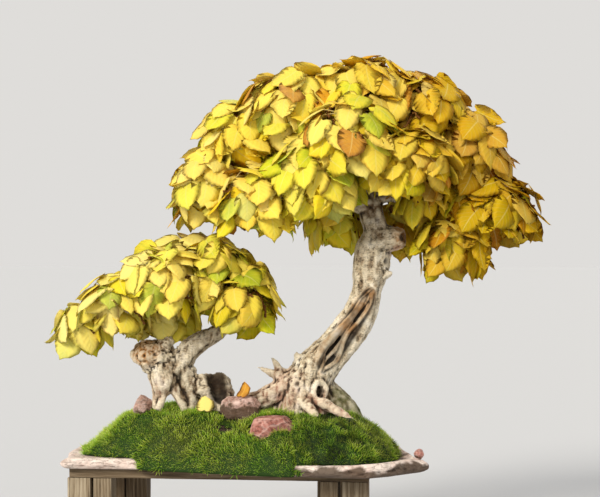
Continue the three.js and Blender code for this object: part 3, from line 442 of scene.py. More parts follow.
# Rough broken stone: mottled, gritty and quite without gloss. Seams are the dark lines in it.
def brokenStone(name, stops, seamColour, seams, mottle=60.0):
    material, tree, inside = newMaterial(name)
    patches = addNode(tree, "TexNoise", {
        "Vector": inside, "Scale": mottle, "Detail": 6.0, "Roughness": 0.65})
    grit = addNode(tree, "TexNoise", {"Vector": inside, "Scale": 520.0, "Detail": 3.0})  # grains of 2 mm
    layers = addNode(tree, "Mapping", {"Vector": inside, "Scale": (45, 45, 190)})
    cracks = addNode(tree, "TexNoise", {"Vector": layers, "Scale": 1.0, "Detail": 4.0, "Distortion": 0.8})
    colour = addNode(tree, "ValToRGB", {"Fac": patches}, stops=stops)
    speck = addNode(tree, "MapRange", {"Value": grit, "From Min": 0.55, "From Max": 0.75, "To Max": 0.4})
    seam = thinLine(tree, cracks, 0.5, 0.03, 0.0, seams)[1]
    # Over the stone's own specks, seams and red go the darker brown of its lower part, a painted highlight on
    # convex edges and painted shade in the dents
    colour = paintOver(tree, colour, [
        (speck, seamColour), (seam, seamColour), ("edgeHighlight", "#f0e2d8"), ("red", "#b5624e"),
        ("under", "#4a3826"), ("creaseShade", "#2c1e14")])
    relief = addNode(tree, "Math", {0: patches, 1: grit}, operation="ADD")
    dented = addNode(tree, "Math", {0: relief, 1: seam}, operation="SUBTRACT")
    endMaterial(tree, colour, 0.88, 0.3, (dented, 0.7, 0.0016))
    return material


# Damp potting soil: crumbly, with painted shade nearly black between the grains
def dampSoil():
    material, tree, inside = newMaterial("damp crumbly soil")
    crumbs = addNode(tree, "TexVoronoi", {"Vector": inside, "Scale": 330.0})  # crumbs of 3 mm
    colour = addNode(tree, "ValToRGB", {"Fac": crumbs}, stops=[
        (0.0, "#5a4430"), (0.5, "#33241a"), (0.9, "#140e0a")])
    endMaterial(tree, colour, 0.95, relief=(crumbs, 0.8, 0.002), invert=True)
    return material


stones = {
    "slab": brokenStone("split pink limestone", [(0.3, "#a58a7e"), (0.45, "#d2b9ad"), (0.58, "#e6d8cd"),
                                                 (0.75, "#f1e9e0")], "#7d5a48", 0.7, 26.0),
    "red": brokenStone("broken red jasper", [(0.32, "#6e3a31"), (0.48, "#a3665a"), (0.62, "#bf8b80"),
                                             (0.8, "#d8b5ab")], "#4b2a24", 0.55),
    "pale": brokenStone("broken pink sandstone", [(0.3, "#7a5a4c"), (0.46, "#b38c7e"), (0.6, "#cfaea3"),
                                                  (0.8, "#e2d0c6")], "#3f2f25", 0.6),
}


# The slab keeps the CAD solid's outline: chips are knocked out of its rim, its bed stays flat. Its lower part
# is a darker brown, more so and in blotches on the right, and its right tip is red.
def makeSlab():
    piece = finerCopy("stone_slab", "slab_stone", slabShape["voxel"], slabShape["smoothing"])
    mesh = piece.data
    points, ways = pointsOf(mesh), normalsOf(mesh)
    spots = laidOut(points)
    rim = np.clip(1.1 - np.abs(ways[:, 2]), 0.15, 1) * (spots[:, 2] > slabShape["bottom"])
    steps = np.round(lumps(spots, slabShape["chipWide"], 3, 2, (1, 1, 1.6)) * 4) / 4 * slabShape["chips"]
    layers = spots[:, 2] / slabShape["ledgeTall"] + lumps(spots, 60, 5, 2)
    ledges = (np.abs(layers % 1 - 0.5) - 0.25) * slabShape["ledge"]
    grit = lumps(spots, slabShape["gritWide"], 4, 3) * slabShape["grit"]
    movePoints(mesh, points + ways * (rim * (steps + ledges + grit - 1.5))[:, None] * layout["mm"])
    dented = dents(mesh, 5)
    ways = normalsOf(mesh)
    # Darker brown towards the bottom, more so to the right, and blotched darker on the right
    right = np.clip((spots[:, 0] + 50) / 60, 0, 1)
    middle = 155 + right * 8 + lumps(spots, 26, 6, 3, (1, 1, 0.4)) * 9
    stain = np.clip((middle - spots[:, 2]) / 3 + 0.5, 0, 1) * (0.25 + 0.65 * right)
    darkShare = np.clip(lumps(spots, 22, 8, 3) * 1.6 - 0.25, 0, 0.7) * right
    storeShare(mesh, "under", np.clip(np.maximum(stain, darkShare), 0, 0.92))
    # Painted shade in the dents and a painted highlight on the edges
    storeShare(mesh, "creaseShade", np.clip(dented * 1.3, 0, 0.75))
    storeShare(mesh, "edgeHighlight", np.clip(-dented * 0.6, 0, 0.3))
    storeShare(mesh, "red", near(spots, *slabShape["red"]))
    mesh.materials.append(stones["slab"])
    finishPiece(piece, "pink slab stone", "stone_slab")


# A rock knocked flat along planes, as broken stone is, with finer chips over them
def makeRock(node, voxel, planes, bite, slot, stone, seed, darkShare=0.15, cuts=()):
    piece = finerCopy(node, node + "_stone", voxel, 0)
    mesh = piece.data
    points = pointsOf(mesh)
    low, high = points.min(axis=0), points.max(axis=0)
    middle, half = (low + high) / 2, (high - low) / 2
    shape = (points - middle) / half
    draw = np.random.default_rng(seed)
    facets = [(unit(np.array(way, float)), reach) for way, reach in cuts]
    for _ in range(planes):
        way = unit(draw.normal(0, 1, 3) * [1, 1, 0.8])
        facets.append((way, (shape @ way).max() * (1 - bite * draw.uniform(0.4, 1.0))))
    for way, reach in facets:
        shape -= np.outer(np.maximum(shape @ way - reach, 0), way)
    spots = laidOut(shape * half + middle)
    chips = lumps(spots, 9, 12, 3) * 0.5 - np.abs(lumps(spots, 5, 13, 2)) * 0.5
    movePoints(mesh, shape * half + middle)
    movePoints(mesh, pointsOf(mesh) + normalsOf(mesh) * chips[:, None] * layout["mm"])
    dented = dents(mesh, 6)
    # Darker brown below a wavy line, at a share of the rock's height
    line = spots[:, 2].min() + darkShare * np.ptp(spots[:, 2]) + lumps(spots, 11, 15, 3) * 9
    storeShare(mesh, "under", np.clip((line - spots[:, 2]) / 4 + 0.4, 0, 0.9))
    # Painted shade in the dents and a painted highlight on the edges
    storeShare(mesh, "creaseShade", np.clip(dented * 1.6, 0, 0.8))
    storeShare(mesh, "edgeHighlight", np.clip(-dented * 0.6, 0, 0.22))
    mesh.materials.append(stones[stone])
    finishPiece(piece, slot, node)


makeSlab()
for node, facts in rockShapes.items():
    makeRock(node, **facts)
soilPiece = finerCopy("soil", "soil_crumb", 7.0, 1)
soilPiece.data.materials.append(dampSoil())
finishPiece(soilPiece, "soil", "soil")
print("slab, rocks and soil made")


# Wood of the tree

# Limbs as points with a radius, from the root up or from the parent out
trunkLimb = [
    [2, 4, 203, 52], [4, 2, 225, 47], [8, 0, 248, 41], [12, 0, 270, 36], [22, 0, 291, 31.5],
    [37, 0, 308, 28.5], [52, 0, 324, 26.5], [66, 0, 340, 26], [80, 0, 358, 25.5],
    [91, 0, 377, 24], [97, 0, 396, 22.5], [101, 0, 414, 22], [104, 0, 434, 25.5],
    [106, 0, 456, 26.5], [108, 0, 472, 26.5], [112, 0, 486, 22], [113.5, 0, 502, 18.5],
    [109, 0, 522, 17.5], [103, 0, 545, 17], [90, 2, 570, 13], [79, 4, 600, 11],
    [75, 5, 634, 9], [79, 5, 652, 7],
]
rootLimbs = [
    [[-2, -4, 278, 22], [-28, -9, 263, 17], [-60, -13, 247, 14], [-92, -15, 241, 12], [-122, -12, 238, 10]],
    [[10, -18, 256, 12], [26, -34, 249, 8.5], [44, -46, 240, 7], [64, -54, 229, 6], [80, -58, 216, 5]],
    [[0, -26, 251, 11], [12, -45, 240, 8], [22, -58, 228, 6.2], [30, -64, 213, 5]],
    [[24, 4, 268, 22], [50, 2, 249, 18], [72, 0, 233, 14], [88, 0, 216, 9]],
    [[0, 16, 248, 28], [-20, 42, 228, 18], [-38, 62, 210, 10]],
    [[16, 16, 248, 25], [44, 42, 228, 15], [66, 58, 210, 9]],
]
deadLimbs = [
    [[-6, -4, 277, 15], [-26, -8, 281, 9], [-46, -10, 289, 4.6], [-63, -12, 297, 1.2]],
    [[-22, -6, 280, 7], [-34, -6, 297, 4.5], [-42, -6, 310, 2]],
    [[16, -6, 290, 13], [1, -9, 305, 8], [-7, -10, 317, 3]],
    [[114, -6, 431, 9], [128, -8, 434, 6], [138, -9, 437, 3]],
    [[112, -2, 486, 22], [134, -5, 488, 19], [149, -7, 489, 15], [157, -9, 490, 10]],
    [[103, -4, 540, 15], [88, -8, 538, 12], [77, -10, 541, 6]],
]
smallTrunkLimbs = [
    [[-216, -14, 234, 5.5], [-212, -13, 252, 8], [-205, -14, 271, 19], [-204, -12, 288, 21],
     [-202, -9, 304, 19]],
    [[-190, -8, 300, 15], [-212, -8, 308, 23], [-230, -9, 314, 22], [-243, -10, 313, 13],
     [-252, -11, 310, 4]],
    [[-212, -8, 312, 18], [-202, -7, 327, 13], [-193, -7, 338, 5]],
    [[-197, -17, 268, 7], [-204, -22, 250, 4.6], [-211, -24, 233, 4.6]],
    [[-190, -12, 268, 8], [-180, -19, 250, 6], [-171, -21, 233, 5.5]],
    [[-166, -3, 234, 15], [-165, -3, 258, 14], [-170, -5, 282, 15], [-181, -7, 303, 15]],
    [[-123, 0, 232, 27], [-124, 0, 254, 24], [-127, 0, 270, 20], [-137, -2, 279, 12]],
    [[-168, -3, 270, 13], [-146, -2, 266, 17], [-124, 0, 262, 19]],
    [[-190, -8, 292, 17], [-174, -6, 309, 16], [-156, -5, 330, 15], [-127, -4, 346, 11.5],
     [-106, -3, 361, 9.5], [-91, -3, 376, 8.5], [-90, -1, 396, 7]],
]
hollowLimbs = [
    [[111, -30, 417, 2], [104, -27, 407, 8], [98, -24, 394, 12], [78, -27, 365, 15], [59, -27, 338, 16.5],
     [44, -29, 313, 15.5], [34, -33, 296, 8], [30, -36, 288, 2]],
    [[-117, -30, 246, 5], [-121, -20, 258, 12], [-125, -10, 275, 14], [-128, -4, 296, 16]],
    [[150, -16, 489, 7], [158, -12, 490, 9], [172, -10, 491, 12]],
]
# How far past its own radius each hollow, and last the knot hole, reaches: there the wood is bare, and
# darkened with painted shade
hollowMargins = (1.3, 1.24, 1.1, 1.25)
# Strands of old wood left standing inside the trunk's hollow: two listed, more set beside them
strandRule = {"count": 3, "seed": 8, "deep": (7, 11), "thick": (2.6, 3.6), "margin": 1.15, "step": 1.3}
strandLimbs = [
    [[99, -13, 408, 3], [89, -17, 388, 4], [73, -18, 368, 5], [56, -19, 349, 6.2], [37, -21, 328, 7.2],
     [25, -24, 307, 6.5], [21, -25, 290, 4.5]],
    [[106, -12, 400, 3], [101, -15, 384, 3.5], [88, -14, 362, 4], [74, -13, 342, 4.5], [56, -14, 318, 5]],
]
branchLimbs = [
    [[92, 0, 564, 11], [60, -14, 572, 8.5], [20, -24, 577, 7.5], [-35, -30, 580, 6], [-98, -25, 580, 4.2]],
    [[80, 4, 598, 10], [40, 4, 620, 8], [0, 2, 634, 7], [-58, 0, 639, 4.2]],
    [[76, 5, 636, 8.5], [48, 0, 656, 6.5], [24, -3, 664, 4.5]],
    [[80, 3, 606, 10.5], [108, -2, 620, 9], [138, -6, 627, 8], [196, -8, 637, 6.5], [230, -8, 634, 4.5]],
    [[103, 0, 545, 13], [129, -6, 552, 10], [150, -10, 548, 8.5], [177, -12, 534, 7.5], [225, -14, 520, 6],
     [262, -14, 518, 4]],
    [[78, 2, 602, 9], [78, -34, 606, 7], [74, -74, 610, 4.5]],
    [[78, 8, 600, 9], [78, 50, 618, 7], [68, 102, 642, 4.5]],
    [[-91, -3, 372, 9], [-118, -6, 393, 7], [-160, -10, 402, 6], [-215, -16, 398, 5], [-278, -14, 374, 4],
     [-306, -12, 364, 3]],
    [[-90, -1, 394, 7.5], [-106, -7, 416, 4.8]],
]
knotHole = {"at": [29.4, -33.6, 262], "faces": [0.42, -0.9, 0.08], "ring": 9, "tall": 1.55, "bead": 3.4,
            "hole": 6, "deep": 16, "proud": 9, "drops": (-4.5, 0, 4.5)}
eyeKnot = {"at": [-231, -31, 315], "faces": [-0.15, -1, 0.1], "ring": 7, "tall": 0.8, "bead": 2.4}
woodShape = {"step": 4, "voxel": 1.85, "smoothing": 1, "grain": 0.9, "flute": 2.6}

# Where the bark's colour changes, and for "shaded" where it is darkened with painted shade: a centre, how far
# it reaches, and how strong it is there
barkPatches = {
    "rusty": [([158, -14, 490], 22, 1.0), ([-232, -22, 322], 26, 1.0), ([92, -20, 388], 16, 0.8),
              ([70, -24, 356], 18, 0.7), ([-236, -20, 326], 16, 0.5), ([104, -24, 404], 12, 0.8)],
    "pink": [([-30, -20, 262], 42, 0.55), ([62, -52, 228], 32, 0.9), ([30, -34, 242], 26, 0.7),
             ([22, -58, 224], 24, 0.8), ([-84, -26, 244], 34, 0.5), ([146, -10, 470], 16, 0.6),
             ([-206, -26, 262], 26, 0.35)],
    "shaded": [([84, 0, 600], 85, 1.0), ([98, 0, 545], 48, 1.0), ([150, 0, 556], 70, 0.9),
               ([-40, 0, 600], 120, 1.0), ([200, 0, 560], 110, 1.0), ([-124, -4, 262], 40, 0.9),
               ([-166, -8, 258], 26, 0.7), ([-150, 0, 380], 130, 0.45), ([-88, 0, 396], 44, 0.7),
               ([-180, -10, 240], 26, 0.5), ([-60, -16, 232], 40, 0.7), ([62, 0, 246], 34, 0.9)],
    "mossy": [([84, 4, 226], 34, 0.9), ([60, 26, 232], 40, 0.7), ([56, -4, 248], 24, 0.8),
              ([-40, 50, 220], 50, 0.6), ([20, 40, 235], 46, 0.5)],
}
# Where knobs crowd: a centre, how far they reach, how high they stand and how wide they are
knobPatches = [
    ([-226, -12, 322], 32, 2.6, 7.5), ([-196, -14, 316], 24, 3.0, 8), ([148, -8, 488], 24, 2.2, 7),
    ([-6, -18, 292], 24, 1.8, 5), ([98, -6, 545], 30, 1.0, 8), ([124, -4, 470], 20, 1.0, 8),
    ([-126, -4, 282], 34, 3.0, 7), ([-70, -14, 244], 30, 1.3, 7), ([120, -4, 436], 16, 1.2, 7),
    ([-152, -4, 262], 20, 1.6, 8),
]
# Small healed holes: a point on the bark and its radius
pits = [([-4, -33, 273], 3.4), ([-8, -30, 289], 2.6), ([127, -13, 455], 4.5), ([100, -18, 436], 2.4),
        ([118, -20, 526], 3.0)]


# A limb's points joined by a smooth curve: rows of x, y, z, radius and place along the limb
def smoothLimb(limb, step):
    known = np.array(limb, float)
    row = np.vstack([2 * known[0] - known[1], known, 2 * known[-1] - known[-2]])
    rows = []
    for i in range(len(known) - 1):
        a, b, c, d = row[i:i + 4]
        count = max(2, round(np.linalg.norm(c[:3] - b[:3]) / step))
        for k in range(count):
            t = k / count
            p = 0.5 * (2 * b + (c - a) * t + (2 * a - 5 * b + 4 * c - d) * t ** 2
                       + (3 * b - a - 3 * c + d) * t ** 3)
            rows.append([*p[:3], max(p[3], 0.6), i + t])
    rows.append([*known[-1], len(known) - 1])
    return np.array(rows)


# Rings round a limb. The ridge waves run along it, and grain adds finer flutes.
def limbShell(limb, sides, ridge=0.0, grain=0.0):
    rows = smoothLimb(limb, woodShape["step"])
    centres = rows[:, :3]
    ways = np.gradient(centres, axis=0)
    ways /= np.linalg.norm(ways, axis=1)[:, None]
    side = np.array([0.0, 0.0, 1.0]) if abs(ways[0][1]) > 0.9 else np.array([0.0, -1.0, 0.0])
    angles = 2 * math.pi * np.arange(sides) / sides
    points = []
    for centre, way, radius, place in zip(centres, ways, rows[:, 3], rows[:, 4]):
        side = side - way * side.dot(way)
        side /= np.linalg.norm(side)
        across = np.cross(way, side)
        wave = 1 + ridge * (np.sin(3 * angles + place * 0.7) + 0.7 * np.sin(5 * angles - place * 0.5))
        wave += grain * (np.sin(9 * angles + place * 0.9) + 0.6 * np.sin(14 * angles - place * 0.6))
        level, upright = radius * wave * np.cos(angles), radius * wave * np.sin(angles)
        points.append(centre + np.outer(level, side) + np.outer(upright, across))
    points = np.vstack(points)
    last = (len(rows) - 1) * sides
    faces = [list(range(sides))[::-1], list(range(last, last + sides))]
    for i in range(len(rows) - 1):
        for j in range(sides):
            a, b = i * sides + j, i * sides + (j + 1) % sides
            faces.append([a, b, b + sides, a + sides])
    return points, faces


# A healed ring of bark round a knot, higher than wide by its "tall"
def ringShell(ring):
    out = unit(np.array(ring["faces"], float))
    right = unit(np.cross([0, 0, 1], out))
    up = np.cross(out, right)
    around, sides = 28, 8
    points = []
    for i in range(around):
        turn = 2 * math.pi * i / around
        spoke = right * math.cos(turn) + up * math.sin(turn) * ring["tall"]
        spoke *= 1 + 0.07 * math.sin(2 * turn + 0.6)
        bead = ring["bead"] * (1 + 0.22 * math.sin(3 * turn + 1) + 0.12 * math.sin(7 * turn))
        for j in range(sides):
            angle = 2 * math.pi * j / sides
            points.append(np.array(ring["at"]) + spoke * (ring["ring"] + bead * math.cos(angle))
                          + out * bead * math.sin(angle))
    faces = []
    for i in range(around):
        for j in range(sides):
            k = (i + 1) % around
            faces.append([i * sides + j, i * sides + (j + 1) % sides,
                          k * sides + (j + 1) % sides, k * sides + j])
    return np.array(points), faces


# Several closed shells as one mesh, in the frame
def joinedShells(name, shells):
    points, faces = [], []
    count = 0
    for shellPoints, shellFaces in shells:
        points.append(shellPoints)
        faces += [[i + count for i in face] for face in shellFaces]
        count += len(shellPoints)
    piece = newPiece(name, placed(np.vstack(points)), faces)
    faceOutwards(piece.data)
    return piece


def cutAway(piece, cutter):
    cut = piece.modifiers.new("cut", "BOOLEAN")
    cut.operation = "DIFFERENCE"
    cut.solver = "MANIFOLD"
    cut.object = cutter
    bake(piece)
    bpy.data.objects.remove(cutter)
    return piece


# Old mulberry bark: pale grey-beige skin on live wood with fine cracks across the trunk, raw
# brown wood where it broke, pinkish bare roots. It scatters light softly and never shines.
def mulberryBark():
    material, tree, inside = newMaterial("old mulberry bark")
    tone = addNode(tree, "TexNoise", {"Vector": inside, "Scale": 42.0, "Detail": 5.0, "Roughness": 0.62})
    specks = addNode(tree, "TexNoise", {"Vector": inside, "Scale": 330.0, "Detail": 2.0})
    # Cracks 8 mm long and 1.5 mm apart
    across = addNode(tree, "Mapping", {
        "Vector": inside, "Scale": (120, 120, 620), "Rotation": (0, 0.25, 0)})
    cracks = addNode(tree, "TexNoise", {"Vector": across, "Scale": 1.0, "Detail": 3.0, "Distortion": 0.6})
    colour = addNode(tree, "ValToRGB", {"Fac": tone}, stops=[
        (0.3, "#6f5a42"), (0.41, "#b09a7c"), (0.52, "#dccdb0"), (0.64, "#f6eddb")])
    crack = thinLine(tree, cracks, 0.47, 0.034, 0.0, 0.9)[1]
    speck = addNode(tree, "MapRange", {"Value": specks, "From Min": 0.56, "From Max": 0.64, "To Max": 0.9})
    marks = addNode(tree, "Math", {0: crack, 1: speck}, operation="MAXIMUM")
    patchy = addNode(tree, "MapRange", {
        "Value": tone, "From Min": 0.38, "From Max": 0.6, "To Min": 1.0, "To Max": 0.5})
    bare = addNode(tree, "Attribute", attribute_name="bare")
    barked = addNode(tree, "Math", {0: 1.0, 1: bare}, operation="SUBTRACT")
    cracked = addNode(tree, "Math", {0: marks, 1: patchy}, operation="MULTIPLY")
    shown = addNode(tree, "Math", {0: cracked, 1: barked}, operation="MULTIPLY")
    # Over the bark's own cracks, specks and colours go painted shade where shade falls on the bark, in the
    # dents and in the hollows, and a painted highlight on the ridges
    colour = paintOver(tree, colour, [
        (shown, "#3c2e20"), ("shaded", "#5a3d20"), ("pink", "#b87f6d"), ("rusty", "#c98a44"),
        ("crestHighlight", "#f2e6cc"), ("mossy", "#4c5a1b"), ("creaseShade", "#1c120a"), ("hollow", "#120b06")])
    relief = addNode(tree, "Math", {0: tone, 1: shown}, operation="SUBTRACT")
    endMaterial(tree, colour, 0.82, 0.25, (relief, 0.7, 0.0014))
    return material


def insideLimb(spots, limb, margin, step=5):
    rows = smoothLimb(limb, step)
    deepest = np.zeros(len(spots))
    for x, y, z, radius, place in rows:
        far = np.linalg.norm(spots - np.array([x, y, z]), axis=1) / radius
        deepest = np.maximum(deepest, margin - far)
    return np.clip(deepest * 3.4, 0, 1)


def hollowStrands():
    rows = smoothLimb(hollowLimbs[0], 22)
    draw = np.random.default_rng(strandRule["seed"])
    strands = list(strandLimbs)
    for i in range(strandRule["count"]):
        side = (i + 0.5) / strandRule["count"] * 1.5 - 0.75
        deep, thick = draw.uniform(*strandRule["deep"]), draw.uniform(*strandRule["thick"])
        strand = []
        for j, row in enumerate(rows):
            before, after = rows[max(j - 1, 0)], rows[min(j + 1, len(rows) - 1)]
            way = unit(after[:3] - before[:3])
            across = unit(np.array([way[2], 0, -way[0]]))
            wander = side + 0.22 * math.sin(j * 1.1 + i * 2) + draw.uniform(-0.04, 0.04)
            spot = row[:3] + across * wander * row[3] + np.array([0, deep, 0])
            strand.append([*spot, thick * (0.9 + 0.15 * math.sin(j * 0.9 + i))])
        strands.append(strand)
    return strands


# Knobs set at random where they crowd: small domes with a ring of shade, and some with a sunk eye
def knobRelief(spots):
    relief = np.zeros(len(spots))
    ragged = lumps(spots, 5, 36, 2) + 0.7 * lumps(spots, 2.6, 37, 2)
    craggy = 0.5 - np.abs(lumps(spots, 6, 38, 3))
    draw = np.random.default_rng(12)
    for centre, reach, tall, wide in knobPatches:
        inside = np.flatnonzero(near(spots, centre, reach) > 0.15)
        chosen = []
        for spot in spots[draw.permutation(inside)]:
            if all(np.linalg.norm(spot - other) > wide * 1.9 for other in chosen):
                chosen.append(spot)
        for spot in chosen:
            size = wide * draw.uniform(0.5, 1.3)
            squash = draw.uniform(0.65, 1.3, 3)
            far = np.linalg.norm((spots - spot) * squash, axis=1) / size
            far += 0.45 * ragged
            bump = np.clip(1 - far ** 2, 0, 1) ** 0.8 - np.exp(-((far - 1.1) / 0.25) ** 2) * 0.2
            if draw.uniform() < 0.2:
                bump -= np.exp(-(far / 0.3) ** 2) * 1.1
            relief += bump * tall * size / wide * 0.7
        relief += craggy * near(spots, centre, reach) * tall * 0.9
    return np.clip(relief, -3, 5)


def makeWood():
    strandList = hollowStrands()
    shells = [limbShell(trunkLimb, 60, 0.04, 0.03)]
    shells += [limbShell(limb, 36, 0.06, 0.04) for limb in rootLimbs + deadLimbs]
    shells += [limbShell(limb, 32, 0.06, 0.02) for limb in smallTrunkLimbs]
    shells += [limbShell(limb, 14, 0.03) for limb in branchLimbs]
    shells += [ringShell(knotHole), ringShell(eyeKnot)]
    piece = remesh(joinedShells("tree_wood_bark", shells), woodShape["voxel"], 0)
    out = np.array(knotHole["faces"]) / np.linalg.norm(knotHole["faces"])
    mouth = [np.array(knotHole["at"]) + out * along for along in (knotHole["proud"], 0, -knotHole["deep"])]
    radii = [knotHole["hole"] * 1.15, knotHole["hole"], knotHole["hole"] * 0.6]
    plugLimb = [[*spot, radius] for spot, radius in zip(mouth, radii)]
    cutters = [limbShell(limb, 18) for limb in hollowLimbs]
    for drop in knotHole["drops"]:
        cutters.append(limbShell([[x, y, z + drop, radius] for x, y, z, radius in plugLimb], 16))
    cutter = remesh(joinedShells("cutter", cutters), woodShape["voxel"], 0)
    cutAway(piece, cutter)
    strands = joinedShells("strands", [limbShell(limb, 14, 0.12, 0.05) for limb in strandList])
    added = bmesh.new()
    added.from_mesh(piece.data)
    added.from_mesh(strands.data)
    added.to_mesh(piece.data)
    added.free()
    bpy.data.objects.remove(strands)
    remesh(piece, woodShape["voxel"], woodShape["smoothing"])
    mesh = piece.data
    points, ways = pointsOf(mesh), normalsOf(mesh)
    spots = laidOut(points)
    hollow = np.maximum.reduce([insideLimb(spots, limb, margin) for limb, margin
                                in zip(hollowLimbs + [plugLimb], hollowMargins)])
    strand = np.maximum.reduce([insideLimb(spots, limb, strandRule["margin"], strandRule["step"])
                                for limb in strandList])
    flutes = 0.45 - np.abs(lumps(spots, 8, 31, 2, (1, 1, 0.2)))
    fluted = np.clip((440 - spots[:, 2]) / 60, 0.12, 1) * np.clip(1 - hollow, 0, 1)
    height = lumps(spots, 9, 32, 3, (1, 1, 0.6)) * woodShape["grain"] + flutes * woodShape["flute"] * fluted
    height += knobRelief(spots)
    for centre, radius in pits:
        far = np.linalg.norm(spots - np.array(centre, float), axis=1) / radius
        height += np.exp(-((far - 1.5) ** 2) * 4) * 1.2 - np.clip(1.2 - far, 0, 1.2) * radius * 1.1
        # Each pit also gets painted shade
        hollow = np.maximum(hollow, np.clip(1.5 - far, 0, 1) * 0.9)
    thin = np.clip((spots[:, 2] - 555) / 40, 0, 1) * 0.6
    movePoints(mesh, points + ways * (height * (1 - thin))[:, None] * layout["mm"])
    rough = lumps(spots, 11, 41, 3) * 0.35
    for name, patches in barkPatches.items():
        share = np.maximum.reduce([near(spots, centre, reach) * strong for centre, reach, strong in patches])
        if name == "rusty":
            share = np.maximum(share, strand * 0.22)
        storeShare(mesh, name, np.clip(share * (0.9 + rough) + np.minimum(share, 0.2) * rough, 0, 1))
    storeShare(mesh, "bare", np.clip(hollow, 0, 1))
    # Painted shade inside the hollows, the knot hole and the pits, lighter on the strands
    storeShare(mesh, "hollow", np.clip(hollow * (1 - strand * 0.8) * (0.95 + rough * 0.3), 0, 0.97))
    # Painted shade in the dents and a painted highlight on the ridges, kept out of the hollows
    dented = dents(mesh, 10)
    calm = np.clip(1 - hollow, 0.12, 1)
    storeShare(mesh, "creaseShade", np.clip(dented * 1.3 - 0.08, 0, 0.92) * calm)
    storeShare(mesh, "crestHighlight", np.clip(-dented * 0.6 - 0.05, 0, 0.6) * calm)
    mesh.materials.clear()
    mesh.materials.append(mulberryBark())
    mesh.polygons.foreach_set("material_index", np.zeros(len(mesh.polygons), int))
    mesh.shade_smooth()
    finishPiece(piece, "mulberry wood", "tree_wood")


makeWood()
print("wood made")


# Growing with geometry nodes


# A new geometry tree with named inputs after the geometry
def growthTree(name, inputs):
    tree = bpy.data.node_groups.new(name, "GeometryNodeTree")
    tree.interface.new_socket("Geometry", in_out="INPUT", socket_type="NodeSocketGeometry")
    tree.interface.new_socket("Geometry", in_out="OUTPUT", socket_type="NodeSocketGeometry")
    for label, kind in inputs.items():
        tree.interface.new_socket(label, in_out="INPUT", socket_type=kind)
    return tree, addNode(tree, "NodeGroupInput"), addNode(tree, "NodeGroupOutput")


# Grows a tree of nodes on a piece, with its named inputs, and keeps the plain mesh
def grow(piece, tree, **inputs):
    change = piece.modifiers.new(tree.name, "NODES")
    change.node_group = tree
    for socket in tree.interface.items_tree:
        if socket.name in inputs:
            change[socket.identifier] = inputs[socket.name]
    return bake(piece)


def hiddenCollection(name, things):
    collection = bpy.data.collections.new(name)
    for thing in things:
        for holder in list(thing.users_collection):
            holder.objects.unlink(thing)
        collection.objects.link(thing)
    return collection


# Moss

mossShape = {
    "voxel": 4.0, "lump": 2.4, "spacing": 2.8, "height": 8.0, "spikes": 4, "seed": 5, "kinds": 4,
    "spikeWide": 0.55, "rootOut": 0.4, "rootDeep": 1.5, "crowd": 260000.0, "seam": ((-14, -80, 190), 26),
    "clear": [([34, -50, 226], 15), ([50, -58, 222], 14), ([66, -64, 216], 14), ([22, -70, 214], 12)],
}
# Where the moss is drier and more yellow: a centre, how far it reaches and how strong it is there
dryPatches = [([-185, -78, 205], 60, 0.5), ([-120, -84, 186], 40, 0.3), ([90, -70, 205], 60, 0.4),
              ([130, -50, 190], 50, 0.35), ([-90, -60, 232], 50, 0.4), ([-60, -92, 165], 60, 0.15)]


# Living cushion moss: thousands of fine translucent leaflets, dark and damp at the base and yellow-green at
# the tips.
# The dark base is also painted shade deep in the cushion, and the pale tips partly a painted highlight, which
# is what makes it look deep.
def cushionMoss():
    material, tree, inside = newMaterial("cushion moss")
    patches = addNode(tree, "TexNoise", {"Vector": inside, "Scale": 17.0, "Detail": 3.0})
    tip, own, dry = (addNode(tree, "Attribute", attribute_name=name) for name in ("tip", "own", "dry"))
    deep = addNode(tree, "ValToRGB", {"Fac": tip}, stops=[
        (0.0, "#24400a"), (0.3, "#568414"), (0.66, "#a0ce30"), (1.0, "#e4f88c")])
    straw = addNode(tree, "ValToRGB", {"Fac": tip}, stops=[
        (0.0, "#344210"), (0.3, "#80941e"), (0.66, "#cbdc48"), (1.0, "#f8fab4")])
    mixed = addNode(tree, "Math", {0: patches, 1: own}, operation="ADD")
    drier = addNode(tree, "Math", {0: mixed, 1: dry}, operation="ADD")
    share = addNode(tree, "MapRange", {"Value": drier, "From Min": 0.9, "From Max": 1.4})
    colour = addNode(tree, "Mix", {0: share, 6: deep, 7: straw}, data_type="RGBA")
    # Painted shade multiplied in over the right mat
    colour = paintOver(tree, colour, [("mossShade", "#80865a")], "MULTIPLY")
    endMaterial(tree, colour, 0.7, 0.25, through=0.25)
    return material


# One sprig: a few bent spikes from one root, each closed
def mossSprig(index):
    draw = np.random.default_rng(60 + index)
    points, faces, tips = [], [], []
    for i in range(mossShape["spikes"]):
        angle = 2 * math.pi * (i + draw.uniform(0, 0.6)) / mossShape["spikes"]
        lean = draw.uniform(0.35, 1.0)
        tall = mossShape["height"] * draw.uniform(0.7, 1.15)
        out = np.array([math.cos(angle), math.sin(angle), 0])
        wide = mossShape["spikeWide"]
        across = np.array([-out[1], out[0], 0])
        start = out * mossShape["rootOut"] - np.array([0, 0, mossShape["rootDeep"]])
        top = out * tall * lean * 0.7 + np.array([0, 0, tall * (1 - lean * 0.35)])
        count = len(points)
        points += [start + across * wide, start - across * wide, start + out * wide * 1.2, top]
        tips += [0.0, 0.0, 0.1, 1.0]
        faces += [[count, count + 1, count + 3], [count + 1, count + 2, count + 3],
                  [count + 2, count, count + 3], [count, count + 2, count + 1]]
    piece = newPiece(f"sprig {index}", np.array(points) * layout["mm"], faces)
    faceOutwards(piece.data)
    storeShare(piece.data, "tip", tips)
    return piece


